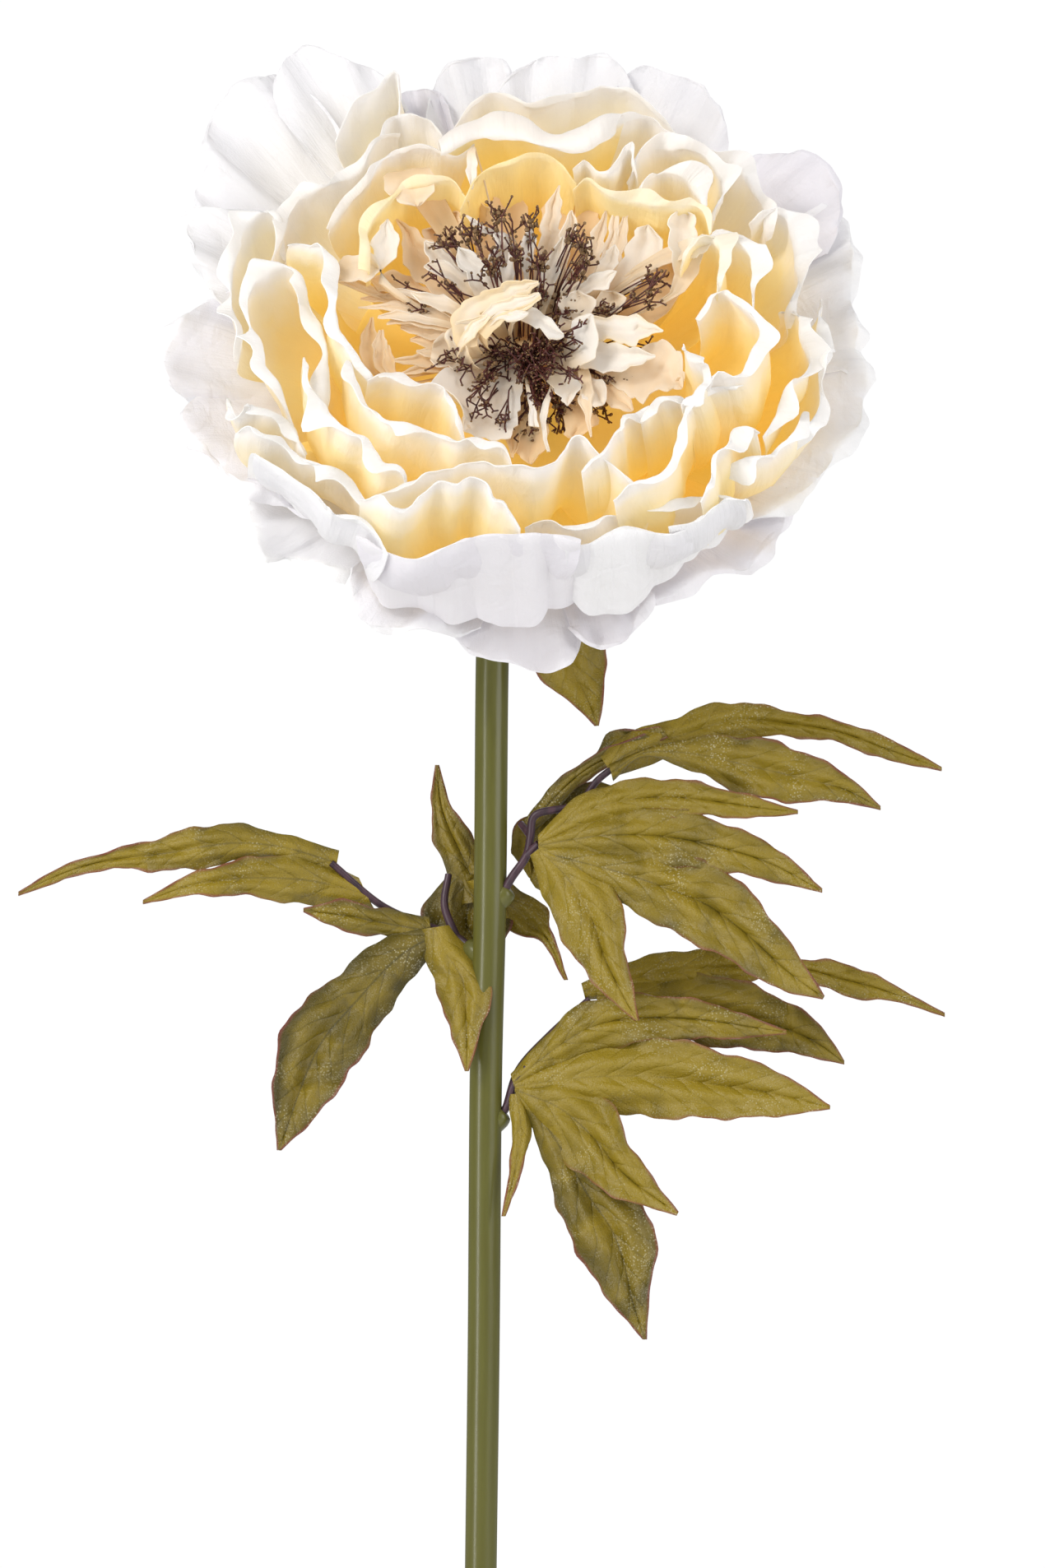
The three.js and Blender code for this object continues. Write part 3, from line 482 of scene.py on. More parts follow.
def translucent(n: Nodes, shader: bpy.types.Node, colour: Socket, share: float) -> None:
    """Lets thin cloth pass on this share of the light that falls on its back."""
    through = n.new("ShaderNodeBsdfTranslucent", {"Color": colour})
    both = n.new("ShaderNodeMixShader", {0: share, 1: shader.outputs[0], 2: through.outputs[0]})
    n.feed(n.first("OUTPUT_MATERIAL"), {"Surface": both.outputs[0]})


@dataclass(frozen=True)
class PetalFinish:
    """Soft cloth that changes colour from the root of the petal to its rim.

    stops are its colours from root to rim, wander and shift how far these move within a petal and from one
    to the next, shade and shade_amount a cool painted shade that some petals take by their drawn tint. rim
    and lip colour the curled edge. glow is the share of light that comes through. ember is the colour and
    lift the strength of a painted glow, an emission that stands in for the warm light shining through deep in
    the cup, and elsewhere is a faint glow of the rim colour that lightens the shade. crease, crease_scale,
    rib, press and relief, in metres, shape the cloth, and pace is how fast the ribs change across a petal,
    along it and from one to the next.
    """

    name: str
    stops: Stops
    shade_amount: float
    glow: float
    painted_glow: Colour
    painted_glow_strength: float
    shade: Colour = (0.80, 0.78, 0.84)
    crease: float = 0.5
    crease_scale: float = 120.0
    press: float = 0.35
    rib: float = 1.6
    rim: Colour = (0.96, 0.955, 0.95)
    lip: float = 0.85
    wander: float = 0.22
    shift: float = 0.5
    relief: float = 0.0012
    pace: tuple[float, float, float] = (26.0, 3.5, 40.0)

    def build(self, groups: Groups) -> Material:
        """Makes the material."""
        material, n, shader = start_material(self.name)
        grain = shared(n, groups.grain, {"Crease": self.crease, "Crease Scale": self.crease_scale})
        along = n.value("along")
        tint = n.value("tint")
        inner = n.less(1.0, along, clamp=True)
        wander = n.times(n.swing(grain["Mottle"], self.wander), n.times(inner, 4.0, clamp=True))
        shift = n.swing(tint, n.times(inner, self.shift))
        colour = n.ramp(n.plus(n.plus(along, wander), shift), self.stops)
        colour = n.mix(n.times(n.value("lip"), self.lip), colour, self.rim)
        # Painted shade: petals whose drawn tint is high are mixed towards the cool shade colour.
        painted_shade_share = n.times(n.less(tint, 0.35, clamp=True), self.shade_amount)
        colour = n.mix(painted_shade_share, colour, self.shade)
        # Painted glow: an emission, warm deep in the cup and a faint rim colour elsewhere, makes the petals
        # glow though they are no lamp.
        depth = n.power(n.times(inner, 1.3, clamp=True), 1.6)
        faint_painted_glow = tuple(0.4 * c for c in self.rim)
        n.feed(shader, {
            "Base Color": colour, "Roughness": 0.75, "Specular IOR Level": 0.2, "Sheen Weight": 0.08,
            "Emission Color": n.mix(depth, faint_painted_glow, self.painted_glow), "Emission Strength": self.painted_glow_strength})
        translucent(n, shader, colour, self.glow)
        ways = (n.value("across"), along, tint)
        place = n.new("ShaderNodeCombineXYZ", {
            i: n.times(way, pace) for i, (way, pace) in enumerate(zip(ways, self.pace))})
        ribs = n.noise(place.outputs[0], scale=1.0, detail=4.0, distortion=0.6)
        bump(n, shader, n.plus(grain["Height"], n.times(ribs, self.rib)), self.press, self.relief)
        return material


@dataclass(frozen=True)
class TuftFinish:
    """Cream to peach cloth, paler towards the edges of each small petal and deeper at its root.

    mottle is how far the tone wanders, and edge how much paler an edge is.
    """

    name: str
    pale: Colour
    peach: Colour
    deep: Colour
    cream: Colour = (0.98, 0.85, 0.61)
    glow: float = 0.35
    mottle: float = 0.3
    edge: float = 0.12

    def build(self, groups: Groups) -> Material:
        """Makes the material."""
        material, n, shader = start_material(self.name)
        grain = shared(n, groups.grain, {"Crease": 0.3})
        tone = n.plus(n.value("tint"), n.swing(grain["Mottle"], self.mottle))
        tone = n.less(tone, n.times(n.value("rim"), self.edge))
        tone = n.plus(n.times(tone, 0.75), 0.25, clamp=True)
        colour = n.ramp(tone, ((0.0, self.cream), (0.22, self.pale), (0.8, self.peach)))
        low = n.less(0.45, n.value("along"), clamp=True)
        colour = n.mix(n.times(low, 2.0, clamp=True), colour, self.deep)
        # Painted glow: a faint emission of the cloth's own colour lightens its shade.
        n.feed(shader, {"Base Color": colour, "Roughness": 0.7, "Specular IOR Level": 0.2,
                        "Emission Color": colour, "Emission Strength": 0.04})
        translucent(n, shader, colour, self.glow)
        bump(n, shader, grain["Height"], strength=0.3, distance=0.0008)
        return material


@dataclass(frozen=True)
class LeafFinish:
    """Pressed olive cloth with bright flecks painted as glints of its sparkle, darker veins and a red edge.

    tone is its middle between dark and light. mottle, vein, side and tint are how far its own wandering,
    the veins, the sides of a lobe and the differences between lobes move it.
    """

    name: str
    dark: Colour
    light: Colour
    edge: Colour
    speck_and_glint: Colour = (0.80, 0.75, 0.50)
    tone: float = 0.66
    mottle: float = 0.85
    vein: float = 0.2
    side: float = 0.25
    tint: float = 0.4

    def build(self, groups: Groups) -> Material:
        """Makes the material."""
        material, n, shader = start_material(self.name)
        grain = shared(n, groups.grain, {"Crease Scale": 70.0})
        speck_and_glint = shared(n, groups.speck_and_glint, {"Amount": 0.52})
        side = n.value("side")
        veins = shared(n, groups.vein, {"Along": n.value("along"), "Side": side, "Spread": n.value("spread")})
        tone = n.plus(self.tone, n.swing(grain["Mottle"], self.mottle))
        tone = n.less(tone, n.times(veins["Vein"], self.vein))
        tone = n.less(tone, n.times(n.power(side, 3.0), self.side))
        tone = n.plus(tone, n.swing(n.value("tint"), self.tint))
        colour = n.ramp(tone, ((0.15, self.dark), (0.85, self.light)))
        colour = n.mix(n.times(n.value("margin"), 0.75, clamp=True), colour, self.edge)
        # Painted glints: bright flecks mixed into the colour stand in for the sparkle of the cloth.
        colour = n.mix(n.times(speck_and_glint["Mask"], 0.5), colour, self.speck_and_glint)
        n.feed(shader, {"Base Color": colour, "Roughness": 0.38, "Specular IOR Level": 0.42})
        glint_height_share, pillow_share = 0.4, 0.3
        height = n.plus(grain["Height"], n.times(speck_and_glint["Height"], glint_height_share))
        height = n.plus(height, n.times(veins["Pillow"], pillow_share))
        bump(n, shader, height, strength=0.75, distance=0.0014)
        return material


@dataclass(frozen=True)
class PlasticFinish:
    """Moulded plastic with faint lengthwise streaks.

    streak is how many fit across a metre, and along what share of these fit into a metre of length.
    """

    name: str
    dark: Colour
    light: Colour
    roughness: float
    streak: float = 600.0
    along: float = 0.06

    def build(self, groups: Groups) -> Material:
        """Makes the material."""
        material, n, shader = start_material(self.name)
        stretch = n.new("ShaderNodeMapping", {"Vector": n.place(), "Scale": (1.0, 1.0, self.along)})
        streaks = n.noise(stretch.outputs[0], self.streak, detail=4.0)
        grain = shared(n, groups.grain, {"Crease": 0.15})
        streak_share = 0.4
        height = n.plus(n.times(streaks, streak_share), grain["Height"])
        bump(n, shader, height, strength=0.12, distance=0.0006)
        colour = n.ramp(streaks, ((0.3, self.dark), (0.7, self.light)))
        n.feed(shader, {"Base Color": colour, "Roughness": self.roughness})
        return material


@dataclass(frozen=True)
class GlazeFinish:
    """Warm white glaze over stoneware, with softer patches and fine iron specks."""

    name: str
    glaze: Colour
    patch: Colour
    speck: Colour

    def build(self, groups: Groups) -> Material:
        """Makes the material."""
        material, n, shader = start_material(self.name)
        speck_and_glint = shared(n, groups.speck_and_glint, {"Scale": 420.0, "Amount": 0.42})
        grain = shared(n, groups.grain, {"Grain Scale": 500.0, "Crease Scale": 30.0})
        soft = n.mix(n.times(grain["Mottle"], 0.25), self.glaze, self.patch)
        colour = n.mix(n.times(speck_and_glint["Mask"], 0.55), soft, self.speck)
        n.feed(shader, {"Base Color": colour, "Roughness": 0.28, "Coat Weight": 0.3, "Coat Roughness": 0.12})
        bump(n, shader, grain["Height"], strength=0.06, distance=0.001)
        return material


# Some guard petals take a painted lilac shade, and all of them a faint painted glow.
GUARD_CLOTH = PetalFinish(
    "guard_petal_cloth",
    ((0.0, (0.90, 0.85, 0.72)), (0.3, (0.89, 0.87, 0.80)), (0.55, (0.885, 0.865, 0.85)),
     (0.9, (0.88, 0.87, 0.885))),
    shade=(0.76, 0.70, 0.79), shade_amount=0.42, glow=0.25, painted_glow=(0.9, 0.88, 0.9), painted_glow_strength=0.15,
    crease=0.9, crease_scale=62.0, press=0.48, rib=0.9)
# The cups take a warm painted glow deep inside, an emission that stands in for light shining through.
CUP_CLOTH = PetalFinish(
    "cup_petal_cloth",
    ((0.0, (0.98, 0.83, 0.36)), (0.34, (0.98, 0.84, 0.41)), (0.6, (0.98, 0.87, 0.53)),
     (0.84, (0.975, 0.91, 0.74)), (1.0, (0.955, 0.938, 0.92))),
    shade_amount=0.05, glow=0.45, painted_glow=(0.98, 0.74, 0.20), painted_glow_strength=0.2)
TUFT_CLOTH = TuftFinish("tuft_petal_cloth", (0.95, 0.91, 0.85), (0.93, 0.75, 0.49), (0.88, 0.66, 0.34))
LEAF_CLOTH = LeafFinish("leaf_cloth", (0.068, 0.053, 0.007), (0.268, 0.190, 0.013), (0.22, 0.045, 0.04))
STEM_PLASTIC = PlasticFinish("stem_plastic", (0.100, 0.096, 0.017), (0.114, 0.111, 0.021), 0.30)
STALK_PLASTIC = PlasticFinish("stalk_plastic", (0.03, 0.014, 0.022), (0.07, 0.032, 0.045), 0.4)
FILAMENT_PLASTIC = PlasticFinish("filament_plastic", (0.045, 0.009, 0.008), (0.12, 0.03, 0.024), 0.45)
ANTHER_PLASTIC = PlasticFinish("anther_plastic", (0.06, 0.028, 0.014), (0.32, 0.19, 0.08), 0.6, 4000.0)
VASE_GLAZE = GlazeFinish("vase_glaze", (0.90, 0.88, 0.83), (0.86, 0.82, 0.74), (0.30, 0.20, 0.12))


# ---------------------------------------------------------------- bloom

@dataclass(frozen=True)
class LayerShape:
    """How the petals of a layer leave the core and come up to their rims.

    Sizes in millimetres, bend in degrees. radius and floor place the roots. out, sag, rise and bulge draw
    the side of a petal that lies open: how far out it sets off and drops, and how far below and outside
    its rim it comes up. cup is how much a petal in front stands up instead, and belly how far it swells
    then. wave and frill are its broad and its fine waves, lip and bend the breadth and turn of its curled
    edge. fade is how far below the rim the white turns to gold, and back_fade the same at the back.
    """

    radius: float
    floor: float
    out: float
    sag: float
    rise: float
    bulge: float
    wave: float
    lip: float
    bend: float
    frill: float
    cup: float
    belly: float
    fade: float
    back_fade: float


class Layer(Enum):
    """The layers of the bloom, from the outside in."""

    GUARD = LayerShape(28, -16, 0.4, 2, 3, -0.3, 2.2, 2.2, 50, 0.35, 0.0, 0, 70, 70)
    DRAPE = LayerShape(29, -14, 0.5, 4, 10, 0.1, 1.2, 0.0, 0, 0.8, 0.5, 0, 80, 80)
    OUTER = LayerShape(27, -12.5, 0.55, 3, 12, 0.06, 1.6, 3.6, 95, 0.3, 0.6, 2, 46, 85)
    MIDDLE = LayerShape(22, -10.5, 0.6, 2, 14, 0.1, 1.5, 3.8, 100, 0.3, 0.9, 4.5, 29, 48)
    INNER = LayerShape(16.5, -10.5, 0.6, 1, 14, 0.12, 1.2, 3.4, 100, 0.28, 1.0, 7, 26, 21)


GUARD, DRAPE, OUTER, MIDDLE, INNER = Layer


@dataclass(frozen=True)
class Petal:
    """One petal, seen from the front.

    heights are along its rim. A falling petal also has a crest, over which it drops to its rim. broad is how
    broad its lip is and gold how far up its gold goes, both as a share of what its layer has.
    """

    layer: Layer
    heights: tuple[float, float, float]
    rim: Line
    crest_heights: tuple[float, float, float] | None = None
    crest: Line | None = None
    broad: float = 1.0
    gold: float = 1.0

    def white(self) -> float:
        """How white its lip is: less towards the back of the cup, a painted shade for the lips that lie in
        shadow there, where the petals stay yellow.
        """
        return float(np.clip(1.35 - self.rim[len(self.rim) // 2][1] / 40, 0.15, 1.0))


# Every petal, in the order in which they are drawn. Points are across and up the front view.
PETALS = (
    Petal(GUARD, (0, 3, 1), ((-66, 66), (-64, 74), (-62, 78), (-55, 80), (-45, 77), (-37, 73), (-32, 66))),
    Petal(GUARD, (-3, -2, 0), ((-83, 35), (-84.8, 44), (-80, 51), (-82.3, 57), (-75, 70), (-65, 73.5),
            (-56, 70))),
    Petal(GUARD, (-3, 1, 0), ((-78, 12), (-85, 27), (-86.8, 33), (-79, 38), (-66, 37))),
    Petal(GUARD, (-8, -5, -4), ((-84, -14), (-90, -7), (-92.5, -2), (-88, 8), (-82, 14), (-72, 18))),
    Petal(GUARD, (-12, -8, -8), ((-46, -46), (-60, -39), (-74, -31), (-84, -22), (-87, -15), (-80, -5))),
    Petal(GUARD, (-20, -17, -15), ((-40, -58), (-50, -55), (-58, -52), (-66, -52), (-69, -44), (-70, -36),
            (-62, -28))),
    Petal(GUARD, (-22, -21, -19), ((-12, -72), (-25, -70.2), (-36, -69.5), (-43, -66), (-45, -56))),
    Petal(GUARD, (-27, -25, -24), ((15, -70), (12, -78.5), (4, -81), (-6, -78), (-15, -75), (-22, -66))),
    Petal(GUARD, (-22, -23, -24), ((34, -60), (29, -67), (24, -74), (19, -74.5), (12, -71))),
    Petal(GUARD, (-15, -18, -20), ((69, -36), (64, -46), (58, -54), (47, -56), (38, -61), (28, -66))),
    Petal(GUARD, (-7, -10, -14), ((83, 6), (87, -5), (85, -18), (78, -27), (70, -36), (58, -44))),
    Petal(GUARD, (-3, -4, -6), ((78, 40), (84.5, 30), (83.5, 20), (85, 6), (84, -4))),
    Petal(GUARD, (2, 1, -2), ((50, 46), (57, 51), (68, 52.5), (77, 49.5), (81, 40), (80, 28))),
    Petal(GUARD, (6, 4, 3), ((23, 70), (30, 75.5), (38, 74), (46, 69), (51, 61), (53, 48))),
    Petal(GUARD, (4, 5, 5), ((-8, 68), (-4, 73), (4, 77.5), (14, 78), (23, 77), (29, 71))),
    Petal(GUARD, (3, 2, 3), ((-26, 62), (-23, 71), (-18, 76.5), (-12, 78.5), (-6, 76), (-2, 68))),
    Petal(GUARD, (1, 2, 2), ((-38, 62), (-32, 68), (-26, 70), (-20, 66))),
    Petal(OUTER, (12, 13, 13), ((-48, 56), (-44, 64.5), (-38, 68.5), (-33, 73), (-32, 60))),
    Petal(OUTER, (12, 16, 17), ((-64, 24), (-60, 33), (-57, 40), (-50, 43), (-42, 47), (-37, 56),
            (-32, 58))),
    Petal(OUTER, (16, 16, 14), ((-18, 61), (-8, 67.5), (3, 64), (13.5, 67), (25.5, 68.5), (33.5, 62),
            (40, 55.5), (44, 50)), broad=1.5),
    Petal(OUTER, (20, 21, 18), ((6, 54), (9, 55.5), (17, 57.5), (25, 60), (31, 60.8), (37, 56.5),
            (43.5, 52.5), (47, 47)), broad=1.6),
    Petal(OUTER, (16, 14, 11), ((57, 34), (61, 36.6), (66, 35), (68.5, 29), (68, 18), (66, 8)), broad=1.2,
            gold=1.8),
    Petal(OUTER, (7, 10, 7), ((74, 16), (74, 4), (74.5, -8), (70, -19), (62, -27)), gold=1.5),
    Petal(OUTER, (12, 14, 14), ((64, 12), (69, 9), (70.7, -3), (66, -11), (59, -20)), gold=1.9),
    Petal(OUTER, (10, 12, 12), ((-72, 0), (-74, 18), (-70, 34), (-64, 36), (-60, 26))),
    Petal(OUTER, (14, 18, 16), ((-57, -15), (-64, -5), (-69, 8), (-68, 18), (-60, 22), (-54, 14), (-50, 0),
            (-50, -14))),
    Petal(OUTER, (10, 12, 13), ((-72, -18), (-60, -24), (-48, -30), (-41, -35), (-34, -44))),
    Petal(OUTER, (12, 11, 11), ((0, -42), (11, -44), (22, -42), (33, -38.2), (44, -37), (52, -35))),
    Petal(OUTER, (11, 12, 12), ((44, -37), (49, -30), (57, -28), (64, -24), (70, -14))),
    Petal(OUTER, (13, 17, 17), ((-38, 54), (-34, 60), (-29, 61.9), (-23.5, 59.5), (-20, 53))),
    Petal(OUTER, (14, 14, 12), ((43, 53), (50, 51), (57, 44), (60.5, 38), (61.5, 30)), broad=1.5),
    Petal(OUTER, (10, 11, 11), ((-74, -10), (-71, -16), (-64, -15), (-58, -20), (-54, -25))),
    Petal(MIDDLE, (20, 23, 22), ((-49, 33), (-41, 42), (-36, 49.5), (-26, 52.5), (-17, 50.5), (-12, 55))),
    Petal(MIDDLE, (22, 23, 22), ((-41, -35), (-38, -38), (-34, -39.5), (-30, -39), (-22, -34), (-17, -34),
            (-13, -32), (-8, -37), (-1, -42.5))),
    Petal(MIDDLE, (20, 21, 20), ((-40, -34.5), (-30, -34), (-22, -31), (-15, -29), (-8, -28.3), (2, -30.5),
            (7, -28), (12, -22.5), (20, -27.5), (31, -33))),
    Petal(MIDDLE, (19, 20, 19), ((-55, 1), (-53, -9), (-49, -16), (-44, -20), (-39, -23), (-36, -28),
            (-31, -30), (-29, -34))),
    Petal(MIDDLE, (23, 22, 20), ((54, -6), (48, -8), (43, -11), (39.5, -16), (38, -24), (34, -31),
            (22, -36))),
    Petal(MIDDLE, (22, 25, 21), ((47, 30), (50, 30), (56, 26), (58, 19), (57, 12))),
    Petal(MIDDLE, (24, 24, 23), ((12, 48), (15, 49), (18, 46), (22, 46), (25, 51), (27, 52.5), (28.5, 46)),
            broad=2.2),
    Petal(MIDDLE, (21, 21, 20), ((26, 45), (30.5, 51), (37, 53), (43.7, 52), (48, 48.5), (49, 42), (47, 35)),
            broad=2.4),
    Petal(MIDDLE, (24, 24, 23), ((28, 39), (31, 44), (36, 46), (41, 44.5), (45.5, 38)), broad=1.8),
    Petal(MIDDLE, (18, 18, 17), ((58, -20), (52, -19.5), (49, -25), (46.5, -30), (44, -37))),
    Petal(INNER, (22, 25, 23), ((-58, 30), (-50, 25), (-46.3, 18), (-47.5, 8), (-42, -1), (-38, -6))),
    Petal(INNER, (22, 22, 21), ((-44, 1), (-42, -8), (-37, -15), (-33, -18.5), (-26, -19), (-21, -20.5),
            (-17, -23), (-10, -21.5), (-6, -24), (-3, -29.5))),
    Petal(INNER, (23, 22, 21), ((-39, -5), (-32, -6), (-25, -8), (-18, -12), (-15, -21))),
    Petal(INNER, (23, 25, 22), ((43, -9), (52, -7), (57.3, -1), (57, 8), (50, 15), (43, 10))),
    Petal(INNER, (23, 25, 23), ((39, 22), (43, 28), (48, 28.5), (50, 22), (47, 15))),
    Petal(INNER, (25, 25, 25), ((-40, 22), (-38, 34), (-30, 42), (-20, 44), (-14, 40))),
    Petal(INNER, (25, 26, 25), ((-16, 38), (-12, 45), (-3, 49), (6, 50), (13, 44))),
    Petal(INNER, (24, 25, 23), ((12, 43), (15.5, 44), (20, 41), (26.5, 39), (33, 37.5), (40, 38), (44.5, 36),
            (46, 31)), broad=1.5),
    Petal(INNER, (21, 21, 22), ((14, -29), (20, -26), (24, -20), (25, -16), (31, -13.5))),
    Petal(INNER, (22, 23, 22), ((29, -17), (33, -13), (38, -11.5), (41, -15))),
    Petal(INNER, (25, 26, 25), ((39, 2), (41, -2), (44.5, -4), (43, -11), (39, -13))),
    Petal(DRAPE, (-20, -20, -16), ((-41, -58), (-38, -64), (-34, -65.5), (-27, -66), (-15, -69), (-2, -70),
            (8, -66), (13, -60)),
        (14, 21, 17), ((-42, -47), (-35, -51), (-27, -53), (-20, -50), (-15, -48), (-10, -47), (0, -46.5),
            (6, -46.5), (14, -48.5))),
    Petal(DRAPE, (-16, -18, -15), ((8, -62), (15, -66), (26, -65), (36, -57), (42, -52)),
        (14, 14, 12), ((10, -50), (17, -48.5), (25, -45.3), (31, -46), (37, -46.5), (42, -44.5))),
    Petal(DRAPE, (-12, -13, -8), ((36, -55), (43, -54), (51, -47), (57, -41)),
        (14, 14, 12), ((36, -45), (43, -43), (50, -38), (55, -38))),
    Petal(DRAPE, (-12, -14, -16), ((-70, -33), (-60, -40), (-50, -43.5), (-43, -48), (-35, -54)),
        (10, 14, 17), ((-68, -26), (-60, -31), (-52, -37), (-48, -41.5), (-41, -43), (-37, -47),
            (-34, -52))),
    Petal(INNER, (27, 29, 27), ((-21, 50), (-14, 53.5), (-8, 54.5), (-2, 54), (3.2, 52), (9.2, 51),
            (14.5, 52), (18, 54.5), (23, 57)),
        (25, 26, 25), ((-22, 53), (-16, 57), (-10, 60.5), (-4, 61.5), (1, 59.5), (4.5, 56), (8.5, 54.5),
            (13.5, 56), (19.5, 58), (25, 60))),
)


def saw(x: np.ndarray) -> np.ndarray:
    """A lopsided triangle wave between -1 and 1, with one step for each whole number."""
    part = x - np.floor(x)
    return np.where(part < 0.75, part / 0.375 - 1, 1 - (part - 0.75) / 0.125)


def ripple(u: np.ndarray, t: np.ndarray, size: tuple[float, float], length: float, draw: Draw) -> np.ndarray:
    """A soft crumple over a surface, between about -1 and 1.

    Args:
        u: way across, one per column.
        t: way up, one per row.
        size: the surface's width and height.
        length: the crumple's typical length.
        draw: the source of its directions.

    Returns:
        One value per row and column.
    """
    total = np.zeros((len(t), len(u)))
    for _ in range(5):
        turn = draw.next() * np.pi
        pace = 2 * np.pi / (length * (0.7 + 0.6 * draw.next()))
        along = pace * (np.cos(turn) * size[0] * u[None, :] + np.sin(turn) * size[1] * t[:, None])
        start = ROUND * draw.next()
        total += np.sin(along + start + 0.8 * np.sin(0.6 * along + ROUND * draw.next()))
    return total / 3


# Steps across a petal: how many millimetres one takes, and the fewest and the most.
COLUMN = 0.95
COLUMNS = (24, 96)
# Rows of the standing part and of the curled lip, and of a falling petal's rise and fall.
STANDING_ROWS = (21, 11)
FALLING_ROWS = (17, 15)
# The share of the lip that turns over, before it runs on flatter.
TURNED = 0.45
# Waves along a rim: the length of each in millimetres, and its share.
LIP_WAVES = ((23, 0.5), (11, 0.25))
BEND_WAVES = ((27, 0.3), (14, 0.2))
FRILL_WAVES = ((24, 1.0), (13, 0.55), (6, 0.12))
NOTCHES = ((17, 0.5), (7, 0.16))
# Crumples over a petal: depth, share of its height that counts, and length in millimetres.
CRUMPLES = ((0.55, 1.0, 16), (0.17, 0.5, 5.5))
# Long folds: length and depth in millimetres, and how late they open towards the rim.
STANDING_FOLD = (19, 0.6, 1.5)
FALLING_FOLD = (24, 3.4, 1)


def control_lines(petal: Petal, cols: int) -> tuple[np.ndarray, ...]:
    """Lays out the lines that a petal is lofted from.

    Args:
        petal: what to loft.
        cols: steps across it.

    Returns:
        Its root, two lines that shape its side, its highest line, its rim, and the way out at each column.
    """
    shape = petal.layer.value
    end = trace(petal.rim, petal.heights, cols)
    top = trace(petal.crest, petal.crest_heights, cols) if petal.crest else end
    middle = end[cols // 2]
    turn = math.atan2(middle[1], middle[0])
    own = np.arctan2(end[:, 1], end[:, 0]) - turn
    angle = turn + 0.6 * np.arctan2(np.sin(own), np.cos(own))
    out = np.column_stack([np.cos(angle), np.sin(angle), np.zeros(cols + 1)])
    root = out * shape.radius + UP * shape.floor
    span = np.maximum(np.linalg.norm((top - root)[:, :2], axis=1), 6)[:, None]
    cupped = shape.cup * np.clip((0.35 - out[:, 1:2]) / 0.8, 0, 1)
    climbing = np.maximum(top[:, 2:3] - root[:, 2:3], 0)
    u = np.linspace(0, 1, cols + 1)
    belly = shape.belly * np.sqrt(np.sin(np.pi * np.clip(u, 0.01, 0.99)))[:, None]
    far = shape.out + (1.12 - shape.out) * cupped
    drop = shape.rise + (0.75 * climbing - shape.rise) * cupped
    first = root + out * span * far - UP * (shape.sag + 6 * cupped)
    second = top - UP * drop + out * (span * shape.bulge + belly * cupped)
    return root, first, second, top, end, out


